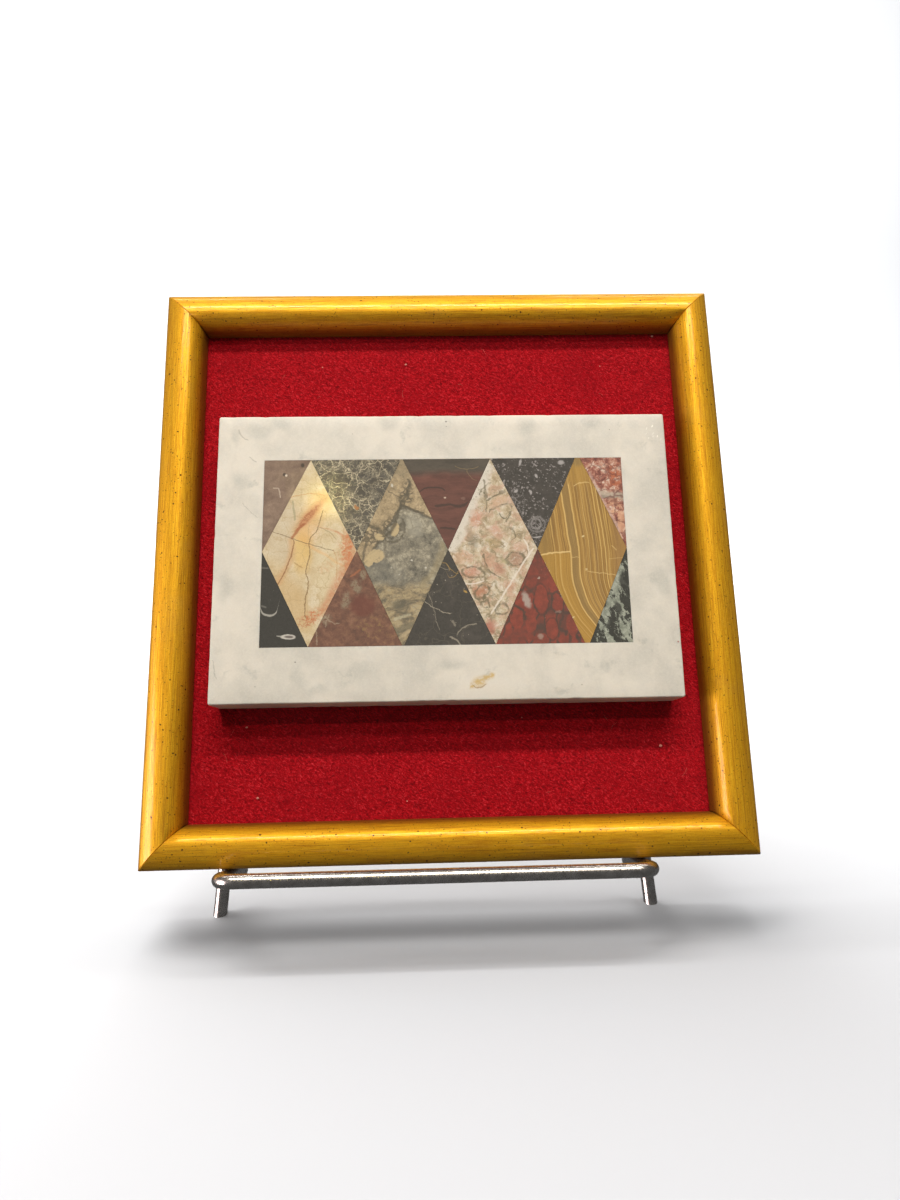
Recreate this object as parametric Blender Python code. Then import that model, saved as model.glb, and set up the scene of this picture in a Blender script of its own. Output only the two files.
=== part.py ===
"""A specimen marble panel in a gilt frame, leaning on a bent rod easel.

A white marble slab, inlaid with lozenges and triangles of coloured stone, sits on red felt inside a
mitred frame. The frame stands on the easel's ledge and leans back against its upright.

The panel is modelled flat, in its own plane: X to the right, Y up the panel, Z out of its face,
with Z = 0 at the frame's outer arris. One empty then leans it back. Everything stands on Z = 0.
"""

import math

import bmesh
import bpy
from mathutils import Matrix, Vector

MM = 0.001
CLEARANCE = 0.3 * MM
TOUCHING = 0.01 * MM
SHARP_ABOVE = math.radians(40.0)

# Frame
FRAME_WIDTH = 210.0 * MM
FRAME_HEIGHT = 213.0 * MM
MOULDING_WIDTH = 14.5 * MM
CROWN_INSET = 8.3 * MM
CROWN_RISE = 3.9 * MM
ARRIS_ROUND = 1.3 * MM
LIP_DEPTH = 6.0 * MM
REBATE_WIDTH = 6.0 * MM
CURVE_STEPS = 10
ARRIS_STEPS = 3

# Felt and the board behind it, flush with the frame's back
FELT_THICKNESS = 1.2 * MM
BOARD_THICKNESS = 12.0 * MM
BOARD_FIT = 0.5 * MM

# Marble slab, glued to the felt a little off square
SLAB_WIDTH = 162.6 * MM
SLAB_HEIGHT = 104.4 * MM
SLAB_THICKNESS = 15.0 * MM
SLAB_EDGE_ROUND = 0.8 * MM
SLAB_EDGE_STEPS = 3
SLAB_SHIFT = Vector((-0.2 * MM, -0.8 * MM, 0.0))
SLAB_TURN = math.radians(-0.25)

# Inlay, each lozenge cut to its own width, some with their tips cut flat by the border
LOZENGE_WIDTHS = (33.2 * MM, 32.2 * MM, 31.7 * MM, 31.8 * MM)
LOZENGE_TIP_FLATS = (0.0, 0.6 * MM, 0.0, 1.7 * MM)
INLAY_HEIGHT = 68.2 * MM
INLAY_RISE = 1.1 * MM
STONE_THICKNESS = 3.0 * MM

# Easel, bent from one size of rod
LEAN = math.radians(20.0)
ROD_DIAMETER = 4.8 * MM
ROD_SIDES = 16
BEND_RADIUS = 6.0 * MM
BEND_STEPS = 6
LEDGE_WIDTH = 146.4 * MM
LEDGE_REACH = 12.0 * MM
ARM_TAIL = 2.0 * MM
FOOT_LENGTH = 14.4 * MM
UPRIGHT_HEIGHT = 150.0 * MM
PROP_ANGLE = math.radians(16.0)
LEG_SPLAY = math.radians(4.0)
EASEL_SHIFT = -5.4 * MM
FLOOR_NORMAL = Vector((0.0, 0.0, 1.0))

# Depths in the panel's own frame, from the felt back to the easel's upright
FELT_FACE = -LIP_DEPTH - CLEARANCE
BOARD_FACE = FELT_FACE - FELT_THICKNESS - CLEARANCE
FRAME_BACK = BOARD_FACE - BOARD_THICKNESS
SLAB_BACK = FELT_FACE + CLEARANCE
SLAB_FACE = SLAB_BACK + SLAB_THICKNESS
INLAY_WIDTH = sum(LOZENGE_WIDTHS)
ROD_RADIUS = ROD_DIAMETER / 2
ROD_PITCH = ROD_DIAMETER + CLEARANCE
LEDGE_LEVEL = -FRAME_HEIGHT / 2 - CLEARANCE - ROD_RADIUS
UPRIGHT_DEPTH = FRAME_BACK - CLEARANCE - ROD_RADIUS
ARM_HALF_SPACING = LEDGE_WIDTH / 2 - ROD_RADIUS

# The panel's plane leaned back, at the height that puts the easel's feet on the floor
PANEL_HEIGHT = (FOOT_LENGTH - LEDGE_LEVEL) * math.cos(LEAN) - UPRIGHT_DEPTH * math.sin(LEAN)
PANEL_PLACE = Matrix.Translation((0.0, 0.0, PANEL_HEIGHT)) @ Matrix.Rotation(math.pi / 2 - LEAN, 4, "X")

# Stones in reading order: name, colour, roughness
LOZENGES = (
    ("lozenge_siena", (0.72, 0.52, 0.27), 0.25),
    ("lozenge_grey_breccia", (0.32, 0.28, 0.21), 0.25),
    ("lozenge_pink_breccia", (0.66, 0.52, 0.46), 0.25),
    ("lozenge_gold_onyx", (0.50, 0.29, 0.06), 0.22),
)
TOP_STONES = (
    ("top_corner_dusty_brown", (0.20, 0.11, 0.08), 0.35),
    ("top_triangle_net_veined", (0.15, 0.13, 0.10), 0.30),
    ("top_triangle_oxblood", (0.14, 0.03, 0.02), 0.25),
    ("top_triangle_charcoal", (0.05, 0.05, 0.06), 0.25),
    ("top_corner_red_breccia", (0.45, 0.14, 0.10), 0.25),
)
BOTTOM_STONES = (
    ("bottom_corner_fossil_black", (0.02, 0.02, 0.025), 0.25),
    ("bottom_triangle_red_brown", (0.22, 0.06, 0.04), 0.25),
    ("bottom_triangle_dark_grey", (0.04, 0.04, 0.04), 0.25),
    ("bottom_triangle_red_jasper", (0.33, 0.04, 0.02), 0.22),
    ("bottom_corner_black_breccia", (0.07, 0.08, 0.08), 0.25),
)

GILT = ((0.60, 0.36, 0.07), 0.35, 0.75)
FELT = ((0.45, 0.01, 0.02), 0.95, 0.0)
BOARD = ((0.38, 0.27, 0.17), 0.85, 0.0)
MARBLE = ((0.78, 0.76, 0.72), 0.35, 0.0)
CHROME = ((0.62, 0.58, 0.55), 0.12, 1.0)


def clear_scene():
    for obj in list(bpy.data.objects):
        bpy.data.objects.remove(obj, do_unlink=True)


def make_material(name, colour, roughness, metallic=0.0):
    material = bpy.data.materials.new(name)
    material.use_nodes = True
    shader = material.node_tree.nodes["Principled BSDF"]
    shader.inputs["Base Color"].default_value = (*colour, 1.0)
    shader.inputs["Roughness"].default_value = roughness
    shader.inputs["Metallic"].default_value = metallic
    material.diffuse_color = (*colour, 1.0)
    return material


def add_empty(name, parent=None, placing=None):
    empty = bpy.data.objects.new(name, None)
    bpy.context.scene.collection.objects.link(empty)
    empty.parent = parent
    empty.matrix_local = placing or Matrix.Identity(4)
    return empty


def add_object(name, bm, material, parent, placing=None, smooth=False):
    bmesh.ops.recalc_face_normals(bm, faces=bm.faces)
    mesh = bpy.data.meshes.new(name)
    bm.to_mesh(mesh)
    bm.free()
    if smooth:
        mesh.shade_smooth()
        mesh.set_sharp_from_angle(angle=SHARP_ABOVE)
    if material:
        mesh.materials.append(material)
    obj = bpy.data.objects.new(name, mesh)
    bpy.context.scene.collection.objects.link(obj)
    obj.parent = parent
    obj.matrix_local = placing or Matrix.Identity(4)
    return obj


def loft(rings):
    """Joins rings of points, all of one length, into a closed body with flat ends."""
    bm = bmesh.new()
    loops = [[bm.verts.new(point) for point in ring] for ring in rings]
    for near, far in zip(loops, loops[1:]):
        for i in range(len(near)):
            j = (i + 1) % len(near)
            bm.faces.new((near[i], near[j], far[j], far[i]))
    bm.faces.new(loops[0])
    bm.faces.new(loops[-1])
    return bm


def plate(outline, back, face):
    """A flat outline with a thickness, from one depth to another."""
    return loft([[(x, y, z) for x, y in outline] for z in (back, face)])


def rectangle(width, height):
    x, y = width / 2, height / 2
    return [(-x, -y), (x, -y), (x, y), (-x, y)]


def quadratic(start, control, end, steps):
    """Points of a quadratic curve, both ends included."""
    points = []
    for i in range(steps + 1):
        t = i / steps
        points.append(start * (1 - t) ** 2 + control * 2 * t * (1 - t) + end * t**2)
    return points


def moulding_section():
    """The moulding's closed section as (inset from the outer arris, depth) points."""
    radius = (CROWN_INSET**2 + CROWN_RISE**2) / (2 * CROWN_RISE)
    sweep = math.asin(CROWN_INSET / radius)
    outer = []
    for i in range(CURVE_STEPS + 1):
        angle = sweep * (1 - i / CURVE_STEPS)
        outer.append(
            Vector((CROWN_INSET - radius * math.sin(angle), CROWN_RISE - radius * (1 - math.cos(angle))))
        )
    clear = [point for point in outer if point.length > ARRIS_ROUND]
    arris = quadratic(Vector((0.0, -ARRIS_ROUND)), outer[0], clear[0], ARRIS_STEPS)

    nose_width = MOULDING_WIDTH - CROWN_INSET
    nose_height = CROWN_RISE + LIP_DEPTH
    nose = []
    for i in range(1, CURVE_STEPS + 1):
        angle = math.pi / 2 * i / CURVE_STEPS
        nose.append(
            Vector((CROWN_INSET + nose_width * math.sin(angle), nose_height * math.cos(angle) - LIP_DEPTH))
        )
    rebate = MOULDING_WIDTH - REBATE_WIDTH
    back = [Vector((rebate, -LIP_DEPTH)), Vector((rebate, FRAME_BACK)), Vector((0.0, FRAME_BACK))]
    return arris + clear[1:] + nose + back


def make_rail(name, length, across, turn, material, parent):
    """One mitred side of the frame, made along the top and turned into its place."""
    mitre_gap = CLEARANCE / 2 * math.sqrt(2)
    rings = []
    for side in (-1, 1):
        rings.append(
            [(side * (length / 2 - u - mitre_gap), across / 2 - u, z) for u, z in moulding_section()]
        )
    placing = Matrix.Rotation(turn, 4, "Z")
    add_object(name, loft(rings), material, parent, placing, smooth=True)


def make_frame(parent):
    gilt = make_material("gilt", *GILT)
    sides = (
        ("frame_rail_top", FRAME_WIDTH, FRAME_HEIGHT),
        ("frame_stile_left", FRAME_HEIGHT, FRAME_WIDTH),
        ("frame_rail_bottom", FRAME_WIDTH, FRAME_HEIGHT),
        ("frame_stile_right", FRAME_HEIGHT, FRAME_WIDTH),
    )
    for quarter, (name, length, across) in enumerate(sides):
        make_rail(name, length, across, quarter * math.pi / 2, gilt, parent)


def make_backing(parent):
    inset = 2 * (MOULDING_WIDTH - REBATE_WIDTH + BOARD_FIT)
    outline = rectangle(FRAME_WIDTH - inset, FRAME_HEIGHT - inset)
    felt = make_material("felt", *FELT)
    add_object("felt", plate(outline, FELT_FACE - FELT_THICKNESS, FELT_FACE), felt, parent)
    board = make_material("board", *BOARD)
    add_object("backing_board", plate(outline, FRAME_BACK, BOARD_FACE), board, parent)


def make_slab(parent):
    """The white slab with rounded edges and a recess for the inlay."""
    slab = add_object(
        "marble_slab",
        plate(rectangle(SLAB_WIDTH, SLAB_HEIGHT), SLAB_BACK, SLAB_FACE),
        make_material("marble", *MARBLE),
        parent,
    )
    rounding = slab.modifiers.new("edges", "BEVEL")
    rounding.width = SLAB_EDGE_ROUND
    rounding.segments = SLAB_EDGE_STEPS

    floor = SLAB_FACE - STONE_THICKNESS - CLEARANCE
    border = [(x, y + INLAY_RISE) for x, y in rectangle(INLAY_WIDTH, INLAY_HEIGHT)]
    cutter = add_object("recess_cutter", plate(border, floor, SLAB_FACE + STONE_THICKNESS), None, parent)
    cutter.hide_render = True
    cutter.display_type = "WIRE"
    recess = slab.modifiers.new("recess", "BOOLEAN")
    recess.operation = "DIFFERENCE"
    recess.solver = "EXACT"
    recess.object = cutter


def inset_outline(outline):
    """Draws each edge of a convex outline inward: half a clearance at a joint, a whole one at the border."""
    lines = []
    for (x0, y0), (x1, y1) in zip(outline, outline[1:] + outline[:1]):
        start, end = Vector((x0, y0)), Vector((x1, y1))
        along = (end - start).normalized()
        inward = Vector((-along.y, along.x))
        along_height = abs(abs(start.y + end.y) - INLAY_HEIGHT) < TOUCHING
        along_side = abs(abs(start.x + end.x) - INLAY_WIDTH) < TOUCHING
        at_border = along_height or along_side
        gap = CLEARANCE if at_border else CLEARANCE / 2
        lines.append((start + inward * gap, along))
    corners = []
    for (before, direction), (after, other) in zip(lines[-1:] + lines[:-1], lines):
        reach = (after - before).cross(other) / direction.cross(other)
        corners.append(before + direction * reach)
    return corners


def make_stone(name, outline, colour, roughness, parent):
    placed = [(x, y + INLAY_RISE) for x, y in inset_outline(outline)]
    body = plate(placed, SLAB_FACE - STONE_THICKNESS, SLAB_FACE)
    add_object(name, body, make_material(name, colour, roughness), parent)


def make_inlay(parent):
    """Lozenges side by side from edge to edge, with triangles in the spaces above and below."""
    half = INLAY_HEIGHT / 2
    left = -INLAY_WIDTH / 2
    points = [left]
    tips = [(left, left)]
    for (name, colour, roughness), width, flat in zip(LOZENGES, LOZENGE_WIDTHS, LOZENGE_TIP_FLATS):
        start, end = points[-1], points[-1] + width
        near, far = (start + end - flat) / 2, (start + end + flat) / 2
        upper = [(far, half), (near, half)] if flat else [(near, half)]
        lower = [(x, -y) for x, y in reversed(upper)]
        make_stone(name, [(start, 0.0), *lower, (end, 0.0), *upper], colour, roughness, parent)
        points.append(end)
        tips.append((near, far))
    tips.append((points[-1], points[-1]))

    for i in range(len(points)):
        start, end, foot = tips[i][1], tips[i + 1][0], (points[i], 0.0)
        upper = [foot, (end, half), (start, half)]
        lower = [foot, (start, -half), (end, -half)]
        make_stone(TOP_STONES[i][0], upper, *TOP_STONES[i][1:], parent)
        make_stone(BOTTOM_STONES[i][0], lower, *BOTTOM_STONES[i][1:], parent)


def bent_path(corners):
    """A path through corner points, each inner corner bent to the rod's own radius."""
    path = [corners[0]]
    for before, corner, after in zip(corners, corners[1:], corners[2:]):
        back = (before - corner).normalized()
        ahead = (after - corner).normalized()
        half_angle = back.angle(ahead) / 2
        centre = corner + (back + ahead).normalized() * (BEND_RADIUS / math.sin(half_angle))
        start = corner + back * (BEND_RADIUS / math.tan(half_angle)) - centre
        end = corner + ahead * (BEND_RADIUS / math.tan(half_angle)) - centre
        turn = start.angle(end)
        axis = start.cross(end).normalized()
        for i in range(BEND_STEPS + 1):
            path.append(centre + Matrix.Rotation(turn * i / BEND_STEPS, 3, axis) @ start)
    path.append(corners[-1])
    return path


def make_rod(name, corners, material, parent, end_normal=None):
    """A round rod along bent corners, its two ends cut square, or flat across end_normal."""
    path = bent_path(corners)
    first = (path[1] - path[0]).normalized()
    side = first.orthogonal().normalized()
    ring = []
    for i in range(ROD_SIDES):
        spin = Matrix.Rotation(2 * math.pi * i / ROD_SIDES, 3, first)
        ring.append(path[0] + spin @ side * ROD_RADIUS)
    rings = []
    for i, point in enumerate(path):
        arriving = (point - path[i - 1]).normalized() if i else first
        leaving = (path[i + 1] - point).normalized() if i + 1 < len(path) else arriving
        at_end = i in (0, len(path) - 1)
        normal = end_normal if at_end and end_normal else arriving + leaving
        ring = [corner + arriving * ((point - corner).dot(normal) / arriving.dot(normal)) for corner in ring]
        rings.append(ring)
    add_object(name, loft(rings), material, parent, smooth=True)


def half_spacing_at(level):
    """How far the easel's legs stand from its middle, at a level up the panel's plane."""
    at_ledge = ARM_HALF_SPACING + ROD_PITCH / math.cos(LEG_SPLAY)
    return at_ledge - (level - LEDGE_LEVEL) * math.tan(LEG_SPLAY)


def make_easel(parent):
    """Three bent rods: a ledge, the upright that it is welded to, and a prop behind the upright."""
    chrome = make_material("chrome", *CHROME)

    tail = UPRIGHT_DEPTH - ROD_RADIUS - ARM_TAIL
    ledge = []
    for side, depth in ((-1, tail), (-1, LEDGE_REACH), (1, LEDGE_REACH), (1, tail)):
        ledge.append(PANEL_PLACE @ Vector((EASEL_SHIFT + side * ARM_HALF_SPACING, LEDGE_LEVEL, depth)))
    make_rod("easel_ledge", ledge, chrome, parent)

    top = LEDGE_LEVEL + UPRIGHT_HEIGHT
    foot = LEDGE_LEVEL - FOOT_LENGTH
    upright = []
    for side, level in ((-1, foot), (-1, top), (1, top), (1, foot)):
        across = EASEL_SHIFT + side * half_spacing_at(level)
        upright.append(PANEL_PLACE @ Vector((across, level, UPRIGHT_DEPTH)))
    make_rod("easel_upright", upright, chrome, parent, end_normal=FLOOR_NORMAL)

    shoulder = upright[1] + Vector((0.0, ROD_PITCH, 0.0))
    prop_length = shoulder.z / math.cos(PROP_ANGLE)
    prop_foot = shoulder + Vector((0.0, math.sin(PROP_ANGLE), -math.cos(PROP_ANGLE))) * prop_length
    spread = half_spacing_at(top) + prop_length * math.tan(LEG_SPLAY)
    leg = ((prop_foot, spread), (shoulder, half_spacing_at(top)))
    prop = [Vector((EASEL_SHIFT - reach, point.y, point.z)) for point, reach in leg]
    prop += [Vector((EASEL_SHIFT + reach, point.y, point.z)) for point, reach in reversed(leg)]
    make_rod("easel_prop", prop, chrome, parent, end_normal=FLOOR_NORMAL)


def centre_on_origin(root):
    """Slides everything along the floor until the middle of its footprint is at the origin."""
    bpy.context.view_layer.update()
    places = []
    for obj in bpy.context.scene.objects:
        if obj.type == "MESH" and not obj.hide_render:
            places += [obj.matrix_world @ vertex.co for vertex in obj.data.vertices]
    for axis in (0, 1):
        values = [place[axis] for place in places]
        root.location[axis] = -(min(values) + max(values)) / 2
    bpy.context.view_layer.update()


def main():
    clear_scene()
    root = add_empty("marble_panel")
    panel = add_empty("panel", root, PANEL_PLACE)
    placing = Matrix.Translation(SLAB_SHIFT) @ Matrix.Rotation(SLAB_TURN, 4, "Z")
    slab_place = add_empty("slab_place", panel, placing)
    make_frame(panel)
    make_backing(panel)
    make_slab(slab_place)
    make_inlay(slab_place)
    make_easel(root)
    centre_on_origin(root)


main()
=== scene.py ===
"""The looks of a framed panel of specimen marbles on a rod easel.

Every piece is made in the panel's own frame, X to the right, Y up the panel and Z out of its face, in
metres, and is then leaned back into its place. Materials work in the same frame, in millimetres.
"""

import math
import random

import bmesh
import bpy
from mathutils import Matrix, Vector, noise


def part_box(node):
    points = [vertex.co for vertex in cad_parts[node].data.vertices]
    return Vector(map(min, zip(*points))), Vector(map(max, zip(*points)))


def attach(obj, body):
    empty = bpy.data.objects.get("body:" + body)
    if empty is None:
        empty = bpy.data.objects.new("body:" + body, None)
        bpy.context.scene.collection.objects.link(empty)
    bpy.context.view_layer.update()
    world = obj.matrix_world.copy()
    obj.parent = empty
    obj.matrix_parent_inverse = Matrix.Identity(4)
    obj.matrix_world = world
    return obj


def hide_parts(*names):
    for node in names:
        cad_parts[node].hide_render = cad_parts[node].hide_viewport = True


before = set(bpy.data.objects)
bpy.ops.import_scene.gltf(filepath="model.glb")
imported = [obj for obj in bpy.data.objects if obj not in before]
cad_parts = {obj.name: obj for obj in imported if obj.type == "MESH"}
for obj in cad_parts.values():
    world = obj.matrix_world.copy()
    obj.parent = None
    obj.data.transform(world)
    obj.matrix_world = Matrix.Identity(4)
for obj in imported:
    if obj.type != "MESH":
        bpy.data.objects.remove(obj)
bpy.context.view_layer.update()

MM = 0.001
BODY = "root"

# Sizes that the pieces share with the CAD nodes
LEAN = math.radians(20.0)
FRAME_WIDTH = 210.0 * MM
FRAME_HEIGHT = 213.0 * MM
MOULDING_WIDTH = 14.5 * MM
CROWN_INSET = 8.3 * MM
CROWN_RISE = 3.9 * MM
ARRIS_ROUND = 1.3 * MM
LIP_DEPTH = 6.0 * MM
REBATE_WIDTH = 6.0 * MM
BOARD_FIT = 0.5 * MM
FELT_FACE = -6.3 * MM
FELT_THICKNESS = 1.2 * MM
BOARD_FACE = -7.8 * MM
FRAME_BACK = -19.8 * MM
SLAB_WIDTH = 162.6 * MM
SLAB_HEIGHT = 104.4 * MM
SLAB_FACE = 9.0 * MM
SLAB_BACK = -6.0 * MM
SLAB_SHIFT = Vector((-0.2 * MM, -0.8 * MM, 0.0))
SLAB_TURN = math.radians(-0.25)
INLAY_RISE = 1.1 * MM
INLAY_HEIGHT = 68.2 * MM
INLAY_WIDTH = 128.9 * MM
STONE_THICKNESS = 3.0 * MM
ROD_RADIUS = 2.4 * MM
ROD_PITCH = 5.1 * MM
BEND_RADIUS = 6.0 * MM
LEDGE_REACH = 12.0 * MM
LEDGE_LEVEL = -109.2 * MM
UPRIGHT_DEPTH = -22.5 * MM
ARM_HALF_SPACING = 70.8 * MM
ARM_TAIL = 2.0 * MM
FOOT_LENGTH = 14.4 * MM
UPRIGHT_HEIGHT = 150.0 * MM
PROP_ANGLE = math.radians(16.0)
LEG_SPLAY = math.radians(4.0)
EASEL_SHIFT = -5.4 * MM

# The panel's frame in the world, found from the backing board
board_low, board_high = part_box("backing_board")
PANEL_TURN = Matrix.Rotation(math.pi / 2 - LEAN, 4, "X")
BOARD_MIDDLE = Vector((0.0, 0.0, (BOARD_FACE + FRAME_BACK) / 2))
ORIGIN = (board_low + board_high) / 2 - PANEL_TURN @ BOARD_MIDDLE
PANEL = Matrix.Translation(ORIGIN) @ PANEL_TURN
SLAB = Matrix.Translation(SLAB_SHIFT) @ Matrix.Rotation(SLAB_TURN, 4, "Z")

SMOOTH_ANGLE = 40.0
OVAL_DEPTH = 20.0


# Shader graphs

def rgb(red, green, blue):
    """A colour on the usual 0 to 255 scale, as linear light."""
    shares = [value / 255 for value in (red, green, blue)]
    return tuple(s / 12.92 if s <= 0.04045 else ((s + 0.055) / 1.055) ** 2.4 for s in shares)


class Graph:
    """A material's node tree, built by functions that take and return sockets or plain values.

    place is where the surface is, in the panel's frame, and colour is what has been painted so far.
    """

    def __init__(self, name):
        self.material = bpy.data.materials.new(name)
        self.material.use_nodes = True
        self.tree = self.material.node_tree
        self.shader = self.tree.nodes["Principled BSDF"]
        coordinates = self.tree.nodes.new("ShaderNodeTexCoord")
        mapping = self.tree.nodes.new("ShaderNodeMapping")
        mapping.vector_type = "TEXTURE"
        mapping.inputs["Location"].default_value = ORIGIN
        mapping.inputs["Rotation"].default_value = (math.pi / 2 - LEAN, 0.0, 0.0)
        mapping.inputs["Scale"].default_value = (MM, MM, MM)
        self.tree.links.new(coordinates.outputs["Object"], mapping.inputs["Vector"])
        self.place = mapping.outputs["Vector"]
        self.colour = None

    def put(self, socket, value):
        if isinstance(value, bpy.types.NodeSocket):
            self.tree.links.new(value, socket)
        elif isinstance(value, (tuple, list)) and len(value) == 3 and socket.type == "RGBA":
            socket.default_value = (*value, 1.0)
        else:
            socket.default_value = value

    def node(self, kind, inputs, output=0, **settings):
        made = self.tree.nodes.new(kind)
        for name, value in settings.items():
            setattr(made, name, value)
        for name, value in inputs.items():
            self.put(made.inputs[name], value)
        return made.outputs[output]

    def math(self, operation, a, b=0.0, clamp=False):
        return self.node("ShaderNodeMath", {0: a, 1: b}, operation=operation, use_clamp=clamp)

    def vector(self, operation, a, b=(0.0, 0.0, 0.0)):
        output = 1 if operation in ("LENGTH", "DOT_PRODUCT", "DISTANCE") else 0
        return self.node("ShaderNodeVectorMath", {0: a, 1: b}, output, operation=operation)

    def scaled(self, vector, factor):
        return self.node("ShaderNodeVectorMath", {0: vector, "Scale": factor}, operation="SCALE")

    def mix(self, factor, a, b, blend="MIX"):
        inputs = {0: factor, 6: a, 7: b}
        return self.node("ShaderNodeMix", inputs, 2, data_type="RGBA", blend_type=blend, clamp_factor=True)

    def step(self, value, low, high, to_low=0.0, to_high=1.0):
        """A smooth step of value between low and high."""
        inputs = {"Value": value, "From Min": low, "From Max": high, "To Min": to_low, "To Max": to_high}
        return self.node("ShaderNodeMapRange", inputs, interpolation_type="SMOOTHSTEP")

    def ramp(self, factor, *stops):
        made = self.tree.nodes.new("ShaderNodeValToRGB")
        elements = made.color_ramp.elements
        while len(elements) < len(stops):
            elements.new(0.5)
        for element, (position, colour) in zip(elements, stops):
            element.position = position
            element.color = (*colour, 1.0)
        self.put(made.inputs["Fac"], factor)
        return made.outputs["Color"]

    def noise(self, place, scale, detail=3.0, roughness=0.5, output="Fac"):
        inputs = {"Vector": place, "Scale": scale, "Detail": detail, "Roughness": roughness}
        return self.node("ShaderNodeTexNoise", inputs, output)

    def cells(self, place, scale, feature="F1", randomness=1.0):
        inputs = {"Vector": place, "Scale": scale, "Randomness": randomness}
        return self.node("ShaderNodeTexVoronoi", inputs, "Distance", feature=feature)

    def warped(self, place, *pushes):
        """The place pushed about by noise, once for each pair of a scale and a reach in millimetres."""
        for scale, reach in zip(pushes[::2], pushes[1::2]):
            push = self.vector("SUBTRACT", self.noise(place, scale, output="Color"), (0.5, 0.5, 0.5))
            place = self.vector("ADD", place, self.scaled(push, reach))
        return place

    def moved(self, place, x, y, z=0.0):
        return self.vector("ADD", place, (x, y, z))

    def stretched(self, place, x, y, turn=0.0):
        """The place turned in the panel's plane, then scaled along each axis."""
        turned = self.node("ShaderNodeMapping", {"Vector": place, "Rotation": (0.0, 0.0, turn)})
        return self.node("ShaderNodeMapping", {"Vector": turned, "Scale": (x, y, 1.0)})

    def axis(self, place, index):
        return self.node("ShaderNodeSeparateXYZ", {0: place}, index)

    def times(self, a, b):
        return self.math("MULTIPLY", a, b)

    def patches(self, place, scale, detail, roughness, *limits):
        """Ragged patches: a smooth step of noise between limits."""
        return self.step(self.noise(place, scale, detail, roughness), *limits)

    def specks(self, place, scale, rim, core):
        """Round specks about the points of a cell pattern, 1 inside core and 0 outside rim."""
        return self.step(self.cells(place, scale), rim, core)

    def cracks(self, place, scale, rim, core):
        """Lines between the cells of a pattern, 1 within core of a line and 0 beyond rim."""
        return self.step(self.cells(place, scale, "DISTANCE_TO_EDGE"), rim, core)

    def local(self, place, location, turn, size):
        """The place as seen from a location, in a frame turned and scaled to a size."""
        inputs = {"Vector": place, "Location": location, "Rotation": (0.0, 0.0, turn), "Scale": size}
        return self.node("ShaderNodeMapping", inputs, vector_type="TEXTURE")

    def oval(self, place, x, y, width, height, turn):
        """The distance from a point, as a share of an ellipse's radius there."""
        size = (width / 2, height / 2, OVAL_DEPTH)
        return self.vector("LENGTH", self.local(place, (x, y, SLAB_FACE / MM), math.radians(turn), size))

    def blob(self, place, x, y, width, height, turn=0.0, soft=0.4):
        """1 inside an ellipse of that width and height about a point, falling to 0 at its rim."""
        return self.step(self.oval(place, x, y, width, height, turn), 1.0 + soft, 1.0 - soft)

    def ring(self, place, x, y, width, height, line, turn, soft):
        """1 along an ellipse of that width and height about a point."""
        away = self.math("ABSOLUTE", self.math("SUBTRACT", self.oval(place, x, y, width, height, turn), 1.0))
        half = line / min(width, height)
        return self.step(away, half * (1 + soft), half * (1 - soft))

    def stroke(self, place, soft, width, *numbers):
        """1 along a smooth line through points, given as x, y, x, y, that lead from its first to its last."""
        points = [Vector(pair) for pair in zip(numbers[::2], numbers[1::2])]
        start, run = points[0], points[-1] - points[0]
        across = Vector((-run.y, run.x))
        spots = []
        for point in points:
            away = point - start
            spots.append((away.dot(run) / run.length_squared, away.dot(across) / run.length_squared))
        reach = max(0.02, *(abs(side) for _, side in spots))
        local = self.local(place, (*start, 0.0), math.atan2(run.y, run.x), (run.length, run.length, 1.0))
        along, side = self.axis(local, 0), self.axis(local, 1)
        curve = self.tree.nodes.new("ShaderNodeFloatCurve")
        line = curve.mapping.curves[0]
        while len(line.points) < len(spots):
            line.points.new(0.5, 0.5)
        for knot, (share, offset) in zip(line.points, spots):
            knot.location = (share, 0.5 + offset / reach / 2)
        curve.mapping.update()
        self.put(curve.inputs["Value"], along)
        bend = self.times(self.math("SUBTRACT", curve.outputs[0], 0.5), reach * 2)
        aside = self.math("ABSOLUTE", self.math("SUBTRACT", side, bend))
        past = self.math("SUBTRACT", self.math("ABSOLUTE", self.math("SUBTRACT", along, 0.5)), 0.5)
        distance = self.math("ADD", aside, self.math("MAXIMUM", past, 0.0))
        half = width / 2 / run.length
        return self.step(distance, half * (1 + soft), half * (1 - soft))

    def lines(self, place, soft, *rows):
        """Strokes joined into one mask, each row a width and points."""
        return self.union(*(self.stroke(place, soft, *row) for row in rows))

    def tones(self, factor, *stops):
        """A ramp whose stops are a position and a colour on the 0 to 255 scale."""
        return self.ramp(factor, *((position, rgb(*tint)) for position, *tint in stops))

    def paint(self, mask, tint, strength=1.0):
        """Lays a tint, on the 0 to 255 scale, or a colour socket over the colour so far,
        where the mask is."""
        over = rgb(*tint) if isinstance(tint, tuple) else tint
        share = mask if strength == 1.0 else self.times(mask, strength)
        self.colour = self.mix(share, self.colour, over)

    def blobs(self, place, tint, strength, soft, *rows):
        for row in rows:
            self.paint(self.blob(place, *row, soft=soft), tint, strength)

    def strokes(self, place, tint, soft, *rows):
        """Paints strokes, each row a strength, a width and points."""
        for strength, *row in rows:
            self.paint(self.stroke(place, soft, *row), tint, strength)

    def union(self, *masks):
        found = masks[0]
        for mask in masks[1:]:
            found = self.math("MAXIMUM", found, mask)
        return found

    def bump(self, height, strength, distance):
        return self.node("ShaderNodeBump", {"Height": height, "Strength": strength, "Distance": distance})

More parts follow.
